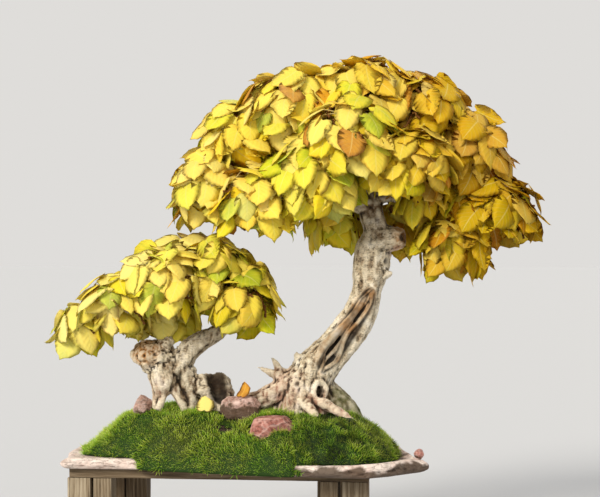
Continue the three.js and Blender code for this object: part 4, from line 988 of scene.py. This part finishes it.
# Sprigs set out over a mat, each turned and leant at random
def mossTree():
    tree, given, result = growthTree("moss cover", {
        "Sprigs": "NodeSocketCollection", "Spacing": "NodeSocketFloat", "Seed": "NodeSocketInt",
        "Moss": "NodeSocketMaterial"})
    cover, tall = (addNode(tree, "GeometryNodeInputNamedAttribute", {"Name": name}, data_type="FLOAT")
                   for name in ("cover", "tall"))
    seed = given.outputs["Seed"]
    spots = addNode(tree, "GeometryNodeDistributePointsOnFaces", {
        "Mesh": given, "Distance Min": given.outputs["Spacing"], "Density Max": mossShape["crowd"],
        "Density Factor": cover, "Seed": seed}, distribute_method="POISSON")
    sprigs = addNode(tree, "GeometryNodeCollectionInfo", {
        "Collection": given.outputs["Sprigs"], "Separate Children": True, "Reset Children": True})
    lean = addNode(tree, "FunctionNodeRandomValue", {
        0: (-0.45, -0.45, 0.0), 1: (0.45, 0.45, 6.283), "Seed": seed}, data_type="FLOAT_VECTOR")
    turned = addNode(tree, "FunctionNodeRotateRotation", {
        "Rotation": spots.outputs["Rotation"], "Rotate By": lean}, rotation_space="LOCAL")
    random = addNode(tree, "FunctionNodeRandomValue", {2: 0.6, 3: 1.2, "Seed": 3}, data_type="FLOAT")
    size = addNode(tree, "Math", {0: random, 1: tall}, operation="MULTIPLY")
    placedSprigs = addNode(tree, "GeometryNodeInstanceOnPoints", {
        "Points": spots, "Instance": sprigs, "Pick Instance": True, "Rotation": turned, "Scale": size})
    own = addNode(tree, "FunctionNodeRandomValue", {2: 0.0, 3: 1.0, "Seed": 7}, data_type="FLOAT")
    kept = addNode(tree, "GeometryNodeStoreNamedAttribute", {
        "Geometry": placedSprigs, "Name": "own", "Value": own}, data_type="FLOAT", domain="INSTANCE")
    both = addNode(tree, "GeometryNodeJoinGeometry", {0: kept})
    tree.links.new(given.outputs["Geometry"], both.inputs[0])
    plain = addNode(tree, "GeometryNodeRealizeInstances", {0: both})
    painted = addNode(tree, "GeometryNodeSetMaterial", {
        "Geometry": plain, "Material": given.outputs["Moss"]})
    tree.links.new(painted.outputs[0], result.inputs[0])
    return tree


def makeMoss():
    moss = cushionMoss()
    tree = mossTree()
    sprigs = hiddenCollection("moss sprigs", [mossSprig(i) for i in range(mossShape["kinds"])])
    for number, side in enumerate(("left", "right")):
        piece = finerCopy(f"moss_{side}", f"moss_{side}_cover", mossShape["voxel"], 2)
        mesh = piece.data
        points, ways = pointsOf(mesh), normalsOf(mesh)
        spots = laidOut(points)
        over = np.clip((ways[:, 2] + 0.35) * 2, 0, 1)
        swell = (lumps(spots, 24, 51, 2) * 0.7 + lumps(spots, 9, 52, 2) * 0.5) * mossShape["lump"]
        movePoints(mesh, points + ways * ((swell - 1.0) * over)[:, None] * layout["mm"])
        clear = np.maximum.reduce([near(spots, centre, reach) for centre, reach in mossShape["clear"]])
        storeShare(mesh, "cover", over * np.clip(1 - clear * 3, 0, 1))
        storeShare(mesh, "own", np.full(len(points), 0.3))
        dry = np.maximum.reduce([near(spots, centre, reach) * strong for centre, reach, strong in dryPatches])
        storeShare(mesh, "dry", dry + lumps(spots, 34, 57, 2) * 0.35)
        # Painted shade: the right mat darker, in blotches
        mossShade = np.clip((spots[:, 0] + 30) / 60, 0, 1) * (0.55 + lumps(spots, 16, 59, 2))
        storeShare(mesh, "mossShade", np.clip(mossShade, 0, 1))
        seam = near(spots, *mossShape["seam"]) * 0.5
        storeShare(mesh, "tall", 1.0 + np.clip(lumps(spots, 20, 58, 2), -0.3, 0.5) + seam)
        grow(piece, tree, Sprigs=sprigs, Spacing=mossShape["spacing"] * layout["mm"],
             Seed=mossShape["seed"] + number, Moss=moss)
        finishPiece(piece, "moss", f"moss_{side}")
    for sprig in list(sprigs.objects):
        bpy.data.objects.remove(sprig)


makeMoss()
print("moss made")


# Foliage

# Crowns of leaves: centre, half sizes, the point on the wood that feeds each, and its colour from
# -1 for green to 1 for orange
crownFacts = {
    "top_centre": ([90, 0, 686], [88, 78, 72], [79, 5, 652], 0.25),
    "top_left": ([-10, -10, 672], [80, 68, 64], [24, -3, 664], 0.05),
    "left_up": ([-87, 0, 632], [56, 58, 58], [-58, 0, 639], 0.0),
    "left_low": ([-134, -15, 557], [55, 56, 59], [-98, -25, 580], 0.15),
    "left_middle": ([-62, -54, 541], [60, 50, 50], [-30, -29, 580], 0.1),
    "front_left": ([22, -80, 576], [62, 54, 62], [30, -22, 576], -0.35),
    "front": ([72, -100, 622], [70, 54, 62], [76, -60, 608], -0.1),
    "top_right": ([178, -10, 664], [72, 68, 60], [140, -6, 627], 0.4),
    "right": ([248, -10, 614], [58, 62, 62], [205, -8, 636], 0.6),
    "front_right": ([159, -88, 592], [62, 50, 50], [124, -4, 624], 0.0),
    "low_right": ([284, -15, 524], [74, 58, 52], [235, -14, 519], 0.1),
    "right_inner": ([186, -20, 547], [44, 44, 36], [165, -11, 541], -0.1),
    "low_right_inner": ([226, -26, 474], [48, 50, 44], [190, -13, 530], -0.1),
    "under_left": ([56, 66, 514], [44, 46, 44], [94, 6, 562], -0.4),
    "under_right": ([146, 58, 500], [34, 40, 36], [132, -4, 551], 0.1),
    "back_left": ([-63, 108, 628], [74, 54, 68], [0, 2, 634], 0.05),
    "back_top": ([63, 128, 658], [84, 54, 76], [74, 75, 630], 0.15),
    "back_right": ([204, 108, 642], [74, 54, 68], [150, -6, 629], 0.3),
    "back_low": ([0, 98, 572], [68, 50, 54], [78, 30, 608], -0.1),
    "small_left_tip": ([-325, -10, 352], [36, 34, 32], [-296, -12, 367], -0.5),
    "small_left": ([-265, -30, 388], [56, 48, 43], [-230, -16, 395], -0.25),
    "small_front": ([-196, -48, 416], [58, 48, 52], [-175, -12, 402], -0.05),
    "small_right": ([-129, -20, 436], [54, 54, 48], [-106, -7, 416], -0.25),
    "small_low_right": ([-80, -42, 391], [50, 44, 48], [-92, -2, 385], -0.7),
    "small_top": ([-170, 8, 457], [46, 40, 27], [-190, -13, 400], 0.0),
    "small_back_left": ([-256, 56, 382], [56, 44, 44], [-200, -14, 399], -0.2),
    "small_back_right": ([-140, 66, 414], [60, 50, 50], [-98, -4, 404], -0.3),
    "small_under": ([-214, 36, 364], [44, 34, 26], [-170, -11, 402], -0.4),
}
crowns = {name: {"at": np.array(at, float), "half": np.array(half, float), "from": np.array(start, float),
                 "hue": hue} for name, (at, half, start, hue) in crownFacts.items()}
# Millimetres, degrees, and shares of a leaf's length. A pose matches where the solid has a corner
# within so many millimetres of its tip.
leafShape = {"wide": 43, "long": 52, "reach": 11, "back": 7, "droop": 0.13, "thick": 0.6, "apart": 13,
             "crowded": 22, "tilt": (0.1, 0.34), "turn": 38, "lift": 4, "crowdedLift": 3, "middle": 0.42,
             "match": 0.12}
goldenAngle = 2.399963
# Half of the rim from the stalk to the tip, as shares of the width and the length: every other
# point is a tooth
leafRim = [(0, 0), (0.155, -0.095), (0.36, -0.075), (0.475, 0.06), (0.53, 0.235), (0.495, 0.41),
           (0.475, 0.565), (0.365, 0.695), (0.275, 0.815), (0.10, 0.91), (0, 1.03)]
# Half of the blade's width without its teeth, at shares of the length: the blade bends by this
leafBody = [(0.1, 0.5), (0.25, 0.51), (0.5, 0.48), (0.7, 0.36), (0.9, 0.13), (1.03, 0.03)]
# Kinds of leaf: how much each arches, folds along its midrib, waves at its rim and droops, how wide it
# is and how far it bends to a side
leafKinds = [dict(zip(("arch", "fold", "wave", "droop", "wide", "bend"), kind)) for kind in (
    (0.04, 0.05, 0.012, 0.10, 1.0, 0.0), (0.01, 0.10, 0.02, 0.03, 0.98, 0.05),
    (0.03, -0.02, 0.03, -0.06, 1.06, -0.05), (-0.02, -0.06, 0.02, 0.04, 0.95, 0.04),
    (0.03, 0.05, 0.035, 0.17, 1.02, -0.06))]
# Upper face first, then right half first
sidesOfLeaf = [(1, 1), (1, -1), (-1, 1), (-1, -1)]
# The turns in degrees and lifts that the CAD solids try in order, to keep their leaves apart
leafTurns = [0, 22, -22, 44, -44, 66, -66]
leafLifts = [0, 5, -5, 9]
# The leaves of the CAD solids stand first; the layers of further leaves fill in round them
leafLayers = [
    {"spacing": 45, "shell": (0.84, 1.0), "hidden": 0.86, "seed": 100, "lowest": -0.55,
     "size": (0.86, 1.14), "loose": 1.0, "flat": 1},
    {"spacing": 23, "shell": (0.82, 0.95), "hidden": 0.84, "seed": 300, "lowest": -0.8,
     "size": (0.7, 0.96), "loose": 1.3, "flat": 0.4},
    {"spacing": 40, "shell": (0.5, 0.78), "hidden": 0.62, "seed": 500, "lowest": -0.8,
     "size": (0.7, 1.0), "loose": 1.4, "flat": 0.5},
]
# Every so many places of the second layer stay bare, with a budded twig end in the gap
bareTwigs = {"first": 4, "every": 8, "gap": 17, "thick": (2.2, 1.5), "spurs": (1, -7), "spur": 6}
# Leaves are painted a darker, deeper gold towards the right of each head, as painted shade: from one x to
# another, and by how much
rightShade = {"large": (40, 250, 0.82), "small": (-170, -70, 0.4)}
twigShape = {"stem": 3.0, "thick": (2.3, 1.2), "petiole": (0.85, 0.6), "perTwig": 6, "sides": 6, "step": 9}
# How tones differ from leaf to leaf, as shares that the leaf's material reads. Some leaves are green,
# where a lot is under a number, or orange, where it is over one. The second number moves the first
# by the crown's colour, and the last two are the range of their hue.
leafTone = {"hue": 0.46, "byCrown": 0.16, "spread": 0.06, "lower": 0.06, "green": (0.13, 0.3, 0.1, 0.36),
            "orange": (0.955, 0.12, 0.66, 0.9), "seed": 900}


# Numbers from 0 to 1 that repeat for a seed: the rule that the CAD leaves were set out by
numberRule = {"spread": 2654435, "start": 12345, "times": 1664525, "plus": 1013904223, "wrap": 4294967296,
              "skipped": 2}


def seededNumbers(seed):
    state = (seed * numberRule["spread"] + numberRule["start"]) % numberRule["wrap"]
    drawn = 0
    while True:
        state = (state * numberRule["times"] + numberRule["plus"]) % numberRule["wrap"]
        drawn += 1
        if drawn > numberRule["skipped"]:
            yield state / numberRule["wrap"]


def turnedAbout(v, axis, degrees):
    angle = math.radians(degrees)
    level, upright = math.cos(angle), math.sin(angle)
    return v * level + np.cross(axis, v) * upright + axis * axis.dot(v) * (1 - level)


# Places for one layer of leaves over a crown: spread over its outside, where no other hides them
def leafPlaces(name, index, layer):
    crown = crowns[name]
    half, middle = crown["half"], crown["at"]
    a, b, c = half
    count = int(4 * math.pi * ((a * b + b * c + c * a) / 3) / layer["spacing"] ** 2 + 0.5)
    draw = seededNumbers(layer["seed"] + index)
    start = next(draw) * 2 * math.pi
    inner, outer = layer["shell"]
    small, big = layer["size"]
    places = []
    for i in range(count):
        draws = [next(draw) for _ in range(6)]
        height = 1 - (2 * (i + 0.5)) / count
        angle = start + i * goldenAngle
        level = math.sqrt(1 - height * height)
        way = np.array([level * math.cos(angle), level * math.sin(angle), height])
        spot = half * way * (inner + (outer - inner) * draws[0]) + middle
        hidden = any(np.linalg.norm((spot - other["at"]) / other["half"]) < layer["hidden"]
                     for key, other in crowns.items() if key != name)
        if hidden or height < layer["lowest"]:
            continue
        out = unit(way / half)
        out[2] = out[2] * layer["flat"] + 0.12 * (1 - layer["flat"])
        loose = layer["loose"]
        out = unit(out + np.array([(draws[1] - 0.5) * 0.7 * loose, (draws[2] - 0.5) * 0.7 * loose,
                                   0.3 + (draws[3] - 0.5) * 0.5 * loose]))
        tip = np.array([0, 0, -1.0]) + 0.45 * np.array([way[0], way[1], 0])
        tip += np.array([(draws[4] - 0.5) * 0.8, (draws[5] - 0.5) * 0.8, 0])
        tip = unit(tip - out * tip.dot(out))
        size = small + (big - small) * draws[0]
        root = spot - out * leafShape["reach"]
        root += tip * (-leafShape["middle"] * leafShape["long"] - leafShape["back"])
        places.append({"spot": spot, "out": out, "tip": tip, "size": size, "root": root, "height": height})
    return places


# A leaf in its place, turned about the way it faces and lifted. A tilt lifts its tip more than its
# base.
def poseLeaf(place, turn, lift, tilt=0.0):
    along, out = turnedAbout(place["tip"], place["out"], turn), place["out"]
    base = place["spot"] - place["tip"] * leafShape["middle"] * leafShape["long"] * place["size"] + out * lift
    along, out = unit(along + out * tilt), unit(out - along * tilt)
    return {"base": base, "along": along, "out": out, "size": place["size"], "root": place["root"]}


# The pose that the CAD solid holds for a place, found by the tip of its blade, or none
def heldPose(place, corners):
    for lift in leafLifts:
        for turn in leafTurns:
            pose = poseLeaf(place, turn, lift)
            long = leafShape["long"] * pose["size"]
            tip = pose["base"] + pose["along"] * long - pose["out"] * leafShape["droop"] * long
            if corners.find(placed(tip))[2] < leafShape["match"] * layout["mm"]:
                return pose
    return None


def hubOf(crown):
    away = crown["from"] - crown["at"]
    reach = min(crown["half"]) * 0.3
    inside = np.linalg.norm(away) <= reach
    return crown["at"] + unit(away) * reach * (0.2 if inside else 1)


# Twigs from the hub of a crown: its leaves are parted into slices, and each slice gets one twig
def twigLines(crown, hub, roots):
    axis = unit(hub - crown["from"])
    side = np.array([0, 0, 1.0]) - axis * axis[2]
    if np.linalg.norm(side) < 0.2:
        side = np.array([1.0, 0, 0]) - axis * axis[0]
    side = unit(side)
    across = np.cross(axis, side)
    around = sorted(roots, key=lambda root: math.atan2((root - hub).dot(across), (root - hub).dot(side)))
    count = max(1, math.ceil(len(roots) / twigShape["perTwig"]))
    share = math.ceil(len(roots) / count)
    lines = []
    for i in range(0, len(around), share):
        waiting = around[i:i + share]
        line = [hub]
        while waiting:
            best = min(range(len(waiting)), key=lambda j: np.linalg.norm(waiting[j] - line[-1]))
            line.append(waiting.pop(best))
        lines.append(line)
    return lines


# Autumn mulberry leaf: thin, slightly waxy on top, lit through from behind, with pale veins, a
# rim that browns first, and no two leaves of quite the same yellow
def mulberryLeaf():
    material, tree, inside = newMaterial("autumn mulberry leaf")
    where = addNode(tree, "UVMap", uv_map="blade")
    # u is 0 at the midrib and 1 at the rim, v runs from the stalk to the tip
    u, v = addNode(tree, "SeparateXYZ", {"Vector": where}).outputs[:2]
    hue, aged = (addNode(tree, "Attribute", attribute_name=name) for name in ("hue", "aged"))
    blots = addNode(tree, "TexNoise", {"Vector": inside, "Scale": 75.0, "Detail": 3.0})
    spots = addNode(tree, "TexNoise", {"Vector": inside, "Scale": 330.0, "Detail": 2.0})
    wander = addNode(tree, "MapRange", {
        "Value": blots, "From Min": 0.3, "From Max": 0.7, "To Min": -0.07, "To Max": 0.07})
    greener = addNode(tree, "Math", {0: u, 1: 0.09, 2: wander}, operation="MULTIPLY_ADD")
    shade = addNode(tree, "Math", {0: hue, 1: greener}, operation="ADD")
    colour = addNode(tree, "ValToRGB", {"Fac": shade}, stops=[
        (0.0, "#98b418"), (0.18, "#c2d01c"), (0.36, "#f2e428"), (0.5, "#ffe42e"), (0.68, "#facd1e"),
        (0.85, "#e29e14"), (1.0, "#b46818")])
    slope = addNode(tree, "Math", {0: u, 1: -0.34, 2: v}, operation="MULTIPLY_ADD")
    spaced = addNode(tree, "Math", {0: slope, 1: 6.5}, operation="MULTIPLY")
    part = addNode(tree, "Math", {0: spaced}, operation="FRACT")
    away, side = thinLine(tree, part, 0.5, 0.09, 0.02, 0.13)
    rib = addNode(tree, "MapRange", {"Value": u, "From Min": 0.07, "From Max": 0.015, "To Max": 0.35})
    vein = addNode(tree, "Math", {0: side, 1: rib}, operation="MAXIMUM")
    rim = addNode(tree, "MapRange", {"Value": u, "From Min": 0.72, "From Max": 1.0})
    rimAged = addNode(tree, "Math", {0: rim, 1: aged}, operation="MULTIPLY")
    speck = addNode(tree, "MapRange", {"Value": spots, "From Min": 0.76, "From Max": 0.80, "To Max": 0.5})
    # Painted shade multiplied in where "deep" is high; then "pale" lays on painted highlight mixed with the
    # leaf's own paler tone, then the veins, browned rim and specks
    shadedColour = paintOver(tree, colour, [("deep", "#c9ae48")], "MULTIPLY")
    final = paintOver(tree, shadedColour, [
        ("pale", "#fdf2a0"), (vein, "#efe596"), (rimAged, "#b06a26"), (speck, "#7a4a1c")])
    pleats = addNode(tree, "Math", {0: away, 1: 2.2, 2: rib}, operation="MULTIPLY_ADD")
    endMaterial(tree, final, 0.55, 0.12, (pleats, 0.3, 0.001), invert=True, through=0.25)
    return material


# Twigs are dark and rough with buds; leaf stalks are smooth and nearly the leaf's own colour
def twigBark():
    material, tree, inside = newMaterial("mulberry twig and stalk")
    young = addNode(tree, "Attribute", attribute_name="young")
    tone = addNode(tree, "TexNoise", {"Vector": inside, "Scale": 300.0, "Detail": 3.0})
    old = addNode(tree, "ValToRGB", {"Fac": tone}, stops=[
        (0.3, "#4a2c10"), (0.6, "#7a5226"), (0.8, "#a37a3c")])
    fresh = addNode(tree, "ValToRGB", {"Fac": tone}, stops=[(0.3, "#b98f52"), (0.7, "#d8cf86")])
    colour = addNode(tree, "Mix", {0: young, 6: old, 7: fresh}, data_type="RGBA")
    endMaterial(tree, colour, 0.8, 0.1, (tone, 0.5, 0.0005))
    return material


# A leaf as a closed thin blade: base at the origin, tip along y, face along z, 1 mm to the unit
# of its CAD size. Both faces share the rim.
def leafBlade(name, kind):
    wide, long = leafShape["wide"] * kind["wide"], leafShape["long"]
    rows = len(leafRim)
    points, uvs, index = [], [], {}

    # Which corner this is: the two ends of the blade and its rim have one for both faces
    def keyOf(k, half, c, face):
        ends = k in (0, rows - 1)
        return k, 0 if (c == 0 or ends) else half * c, 0 if (c == 2 or ends) else face

    for face, half in sidesOfLeaf:
        for k, (rimX, rimY) in enumerate(leafRim):
            ends = k in (0, rows - 1)
            ribY = max(rimY, 0.0) if k else 0.0
            for c, share in enumerate((0.0, 0.5, 1.0)):
                key = keyOf(k, half, c, face)
                if (c == 1 and face < 0) or key in index:
                    continue
                index[key] = len(points)
                u = 0.0 if ends else share
                y = ribY + (rimY - ribY) * share
                across = min(rimX * share / np.interp(y, *zip(*leafBody)), 1.0)
                body = max(0.0, math.sin(math.pi * min(max((y + 0.1) / 1.15, 0), 1))) ** 0.7
                z = (kind["arch"] + kind["fold"]) * (1 - across ** 1.6) * body
                z -= kind["fold"] * 0.5 * (1 - across)
                z += kind["wave"] * across * math.sin(7.5 * y + half * 1.3) - kind["droop"] * max(y, 0) ** 2
                z += face * (leafShape["thick"] / 2 / long) * (1 - u) ** 0.5 * (0 if ends else 1)
                bend = kind["bend"] * math.sin(2.6 * y)
                points.append([wide * half * rimX * share + bend * long, long * y, long * z])
                uvs.append((u, y))
    faces = []
    for face, half in sidesOfLeaf:
        for k in range(rows - 1):
            for c, d in ((0, 1), (1, 2)) if face > 0 else ((0, 2),):
                quad = [index[keyOf(k, half, c, face)], index[keyOf(k, half, d, face)],
                        index[keyOf(k + 1, half, d, face)], index[keyOf(k + 1, half, c, face)]]
                corners = list(dict.fromkeys(quad))
                if len(corners) > 2:
                    faces.append(corners if half * face > 0 else corners[::-1])
    piece = newPiece(name, np.array(points) * layout["mm"], faces)
    mesh = piece.data
    layer = mesh.uv_layers.new(name="blade")
    for loop in mesh.loops:
        layer.data[loop.index].uv = uvs[loop.vertex_index]
    mesh.shade_smooth()
    return piece


# Leaves set on their points and twigs swept along their edges
def sprayTree():
    tree, given, result = growthTree("leafy spray", {
        "Blades": "NodeSocketCollection", "Sides": "NodeSocketInt", "Leaf": "NodeSocketMaterial",
        "Twig": "NodeSocketMaterial"})
    isLeaf, out, along, size, kind, thick = (
        addNode(tree, "GeometryNodeInputNamedAttribute", {"Name": name}, data_type=sort) for name, sort in (
            ("isLeaf", "BOOLEAN"), ("leafOut", "FLOAT_VECTOR"), ("leafAlong", "FLOAT_VECTOR"),
            ("leafSize", "FLOAT_VECTOR"), ("kind", "INT"), ("thick", "FLOAT")))
    leafPoints, twigEdges = addNode(tree, "GeometryNodeSeparateGeometry", {
        "Geometry": given, "Selection": isLeaf}, domain="POINT").outputs
    facing = addNode(tree, "FunctionNodeAxesToRotation", {
        "Primary Axis": out, "Secondary Axis": along}, primary_axis="Z", secondary_axis="Y")
    blades = addNode(tree, "GeometryNodeCollectionInfo", {
        "Collection": given.outputs["Blades"], "Separate Children": True, "Reset Children": True})
    leaves = addNode(tree, "GeometryNodeInstanceOnPoints", {
        "Points": leafPoints, "Instance": blades, "Pick Instance": True, "Instance Index": kind,
        "Rotation": facing, "Scale": size})
    plain = addNode(tree, "GeometryNodeRealizeInstances", {0: leaves})
    green = addNode(tree, "GeometryNodeSetMaterial", {"Geometry": plain, "Material": given.outputs["Leaf"]})
    lines = addNode(tree, "GeometryNodeMeshToCurve", {"Mesh": twigEdges})
    ring = addNode(tree, "GeometryNodeCurvePrimitiveCircle", {
        "Resolution": given.outputs["Sides"], "Radius": 1.0}, mode="RADIUS")
    tubes = addNode(tree, "GeometryNodeCurveToMesh", {
        "Curve": lines, "Profile Curve": ring, "Scale": thick, "Fill Caps": True})
    bark = addNode(tree, "GeometryNodeSetMaterial", {"Geometry": tubes, "Material": given.outputs["Twig"]})
    both = addNode(tree, "GeometryNodeJoinGeometry", {0: green})
    tree.links.new(bark.outputs[0], both.inputs[0])
    tree.links.new(both.outputs[0], result.inputs[0])
    return tree


# A line from a to b that sags or arches a little, as rows of points
def bentLine(a, b, bend, count):
    way = b - a
    return [a + way * t + np.array([0, 0, bend * 4 * t * (1 - t)]) for t in np.linspace(0, 1, count)]


# A leafless twig end as rows of points with their thickness: it bends at its buds, and two spurs
# stand off it
def buddedTwig(start, end, along):
    low, high = bareTwigs["thick"]
    way = unit(end - start)
    side = unit(np.cross(way, along) + 0.2 * along)
    sticks = [(bentLine(start, end, 3, 5), low, high, 0.0)]
    for spur in bareTwigs["spurs"]:
        root = end - way * abs(spur)
        tip = root + (side * math.copysign(1, spur) + 0.5 * way) * bareTwigs["spur"]
        sticks.append((bentLine(root, tip, 1, 3), high, low * 0.9, 0.0))
    return sticks


# A crown's leaves, as their poses with their places: first those that its CAD solid holds, then the
# further layers. With them come how many are held, and its twigs.
def setOutCrown(name, index, draw):
    crown = crowns[name]
    mesh = cadNodes["foliage_" + name].data
    corners = KDTree(len(mesh.vertices))
    for vert in mesh.vertices:
        corners.insert(vert.co, vert.index)
    corners.balance()
    hub = hubOf(crown)
    first = leafPlaces(name, index, leafLayers[0])
    poses = [(heldPose(place, corners), place) for place in first]
    poses = [(pose, place) for pose, place in poses if pose]
    held = len(poses)
    centres = [place["spot"] for pose, place in poses] or [hub]
    sticks = [(bentLine(crown["from"], hub, 2, 5), twigShape["stem"], twigShape["stem"], 0.0)]
    joints = []
    for line in twigLines(crown, hub, [place["root"] for place in first]):
        rows = smoothLimb([[*p, 1.0] for p in line], twigShape["step"])[:, :3]
        sticks.append((list(rows), *twigShape["thick"], 0.0))
        joints += list(rows)
    bare = leafPlaces(name, index, leafLayers[1])[bareTwigs["first"]::bareTwigs["every"]]
    for place in bare:
        joint = min(joints, key=lambda p: np.linalg.norm(p - place["root"]))
        sticks += buddedTwig(joint, place["spot"], place["tip"])
    for place in [place for layer in leafLayers[1:] for place in leafPlaces(name, index, layer)]:
        place["root"] = min(joints, key=lambda p: np.linalg.norm(p - place["root"]))
        apart = min(np.linalg.norm(place["spot"] - other) for other in centres)
        gap = min([np.linalg.norm(place["spot"] - other["spot"]) for other in bare] or [math.inf])
        if apart < leafShape["apart"] or gap < bareTwigs["gap"]:
            continue
        crowded = leafShape["crowdedLift"] if apart < leafShape["crowded"] else 0
        lift = draw.uniform(0, leafShape["lift"]) + crowded
        pose = poseLeaf(place, draw.uniform(-leafShape["turn"], leafShape["turn"]), lift,
                        draw.uniform(*leafShape["tilt"]))
        centres.append(place["spot"])
        poses.append((pose, place))
    for pose, place in poses:
        sticks.append((bentLine(pose["root"], pose["base"], 1.5, 4), *twigShape["petiole"], 1.0))
    return poses, held, sticks


# A leaf's hue from green to orange, its paleness (its own tone, with painted highlight on the left and on
# top), its painted shade towards the right of its head, and how browned its rim is
def drawTone(name, pose, height, draw):
    warm = crowns[name]["hue"]
    low = np.clip(-height, 0, 1)
    lot = draw.uniform()
    hue = leafTone["hue"] + warm * leafTone["byCrown"] + draw.normal(0, leafTone["spread"])
    hue -= leafTone["lower"] * low
    (few, byGreen, *greens), (most, byOrange, *oranges) = leafTone["green"], leafTone["orange"]
    if lot < few - byGreen * warm:
        hue = draw.uniform(*greens)
    elif lot > most - byOrange * warm:
        hue = draw.uniform(*oranges)
    first, last, deepest = rightShade["small" if name.startswith("small") else "large"]
    leftness = np.clip(0.5 - pose["base"][0] / 500, 0, 1)
    rightness = np.clip((pose["base"][0] - first) / (last - first), 0, 1)
    # Paler to the left and higher up, as painted highlight, over each leaf's own random paleness; less pale
    # to the right, as painted shade
    pale = np.clip(draw.normal(0.04, 0.16) + 0.4 * leftness + 0.08 * height, 0, 0.8)
    pale *= 1 - 0.6 * rightness
    # Painted shade towards the right of the head
    deep = np.clip(deepest * rightness + draw.normal(0.0, 0.12), 0, 1)
    pale *= 0.4 if (hue < 0.35 and draw.uniform() < 0.8) or hue > 0.62 else 1.0
    aged = np.clip(draw.normal(-0.25, 0.4), 0, 1)
    return np.clip(hue, 0.02, 0.98), pale, aged, deep


# A spray as points: first the edges of its twigs, then one point for each leaf. Both then grow.
def makeSpray(name, index, blades, tree, leaf, twig):
    node = "foliage_" + name
    draw = np.random.default_rng(leafTone["seed"] + index)
    poses, held, sticks = setOutCrown(name, index, draw)
    points, edges, thick, young = [], [], [], []
    for line, low, high, fresh in sticks:
        count = len(points)
        points += list(line)
        edges += [(count + i, count + i + 1) for i in range(len(line) - 1)]
        thick += list(np.linspace(low, high, len(line)) * layout["mm"])
        young += [fresh] * len(line)
    count, leaves = len(points), len(poses)
    points += [pose["base"] for pose, place in poses]
    mesh = bpy.data.meshes.new(node)
    mesh.from_pydata(placed(points).tolist(), edges, [])
    piece = addObject(node.replace("foliage", "spray"), mesh)
    alongs, outs, sizes = (np.zeros((count + leaves, 3)) for _ in range(3))
    tones = np.zeros((4, count + leaves))
    kinds = np.zeros(count + leaves, int)
    for i, (pose, place) in enumerate(poses):
        j = count + i
        alongs[j], outs[j] = pose["along"], pose["out"]
        sizes[j] = pose["size"] * (0.9 if i < held else 1) * np.array([1.0 if i < held else 1.12, 1, 1])
        kinds[j] = draw.integers(0, len(leafKinds)) if i >= held or draw.uniform() < 0.4 else 0
        tones[:, j] = drawTone(name, pose, place["height"], draw)
    storeShare(mesh, "thick", thick + [0] * leaves)
    storeShare(mesh, "young", young + [1] * leaves)
    for label, values in zip(("hue", "pale", "aged", "deep"), tones):
        storeShare(mesh, label, values)
    isLeaf = np.arange(count + leaves) >= count
    for label, sort, values in (("isLeaf", "BOOLEAN", isLeaf), ("kind", "INT", kinds)):
        mesh.attributes.new(label, sort, "POINT").data.foreach_set("value", values.tolist())
    for label, ways in (("leafAlong", turnedWay(alongs)), ("leafOut", turnedWay(outs)), ("leafSize", sizes)):
        layer = mesh.attributes.new(label, "FLOAT_VECTOR", "POINT")
        layer.data.foreach_set("vector", np.ascontiguousarray(ways).ravel())
    grow(piece, tree, Blades=blades, Sides=twigShape["sides"], Leaf=leaf, Twig=twig)
    finishPiece(piece, "leaves and twigs", node)
    return held, leaves


def makeFoliage():
    blades = hiddenCollection("blades", [leafBlade(f"blade {i}", kind) for i, kind in enumerate(leafKinds)])
    tree, leaf, twig = sprayTree(), mulberryLeaf(), twigBark()
    held = total = 0
    for index, name in enumerate(crowns):
        some, every = makeSpray(name, index, blades, tree, leaf, twig)
        held += some
        total += every
    for blade in list(blades.objects):
        bpy.data.objects.remove(blade)
    print("leaves of the solids:", held, "of all:", total)


makeFoliage()
print("foliage made")

# Fallen leaves: each lies on its stalk end and one side, and its far half has curled up as it dried
fallenLeaves = {
    "fallen_leaf_pale": {"long": 27, "wide": 25, "heading": 96, "lift": 52, "curl": 0.3,
                         "tone": {"hue": 0.42, "pale": 0.7, "aged": 0.5, "deep": 0.0}},
    "fallen_leaf_orange": {"long": 27, "wide": 20, "heading": 60, "lift": 34, "curl": 0.7,
                           "tone": {"hue": 0.88, "pale": 0.1, "aged": 0.5, "deep": 0.0}},
}


def makeFallenLeaf(node, leaf, facts):
    low, high = (np.array(corner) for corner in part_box(node))
    piece = leafBlade(node + "_blade", leafKinds[4])
    mesh = piece.data
    blade = pointsOf(mesh) / layout["mm"]
    side = blade[:, 0] / leafShape["wide"] * facts["wide"]
    far = blade[:, 1] / leafShape["long"]
    rise = blade[:, 2] * 0.6
    bend = np.radians(facts["lift"]) + facts["curl"] * far
    out, up = far * facts["long"] * np.cos(bend), far * facts["long"] * np.sin(bend) + rise
    heading = math.radians(facts["heading"])
    points = np.stack([out * math.cos(heading) - side * math.sin(heading),
                       out * math.sin(heading) + side * math.cos(heading), up], axis=1) * layout["mm"]
    middle = (points.min(axis=0) + points.max(axis=0)) / 2
    points += (low + high) / 2 - middle
    points[:, 2] += low[2] - points[:, 2].min()
    movePoints(mesh, points)
    for label, share in facts["tone"].items():
        storeShare(mesh, label, np.full(len(points), share))
    mesh.materials.append(leaf)
    finishPiece(piece, "fallen leaves", node)


fallenMaterial = mulberryLeaf()
for node, facts in fallenLeaves.items():
    makeFallenLeaf(node, fallenMaterial, facts)
print("fallen leaves made")
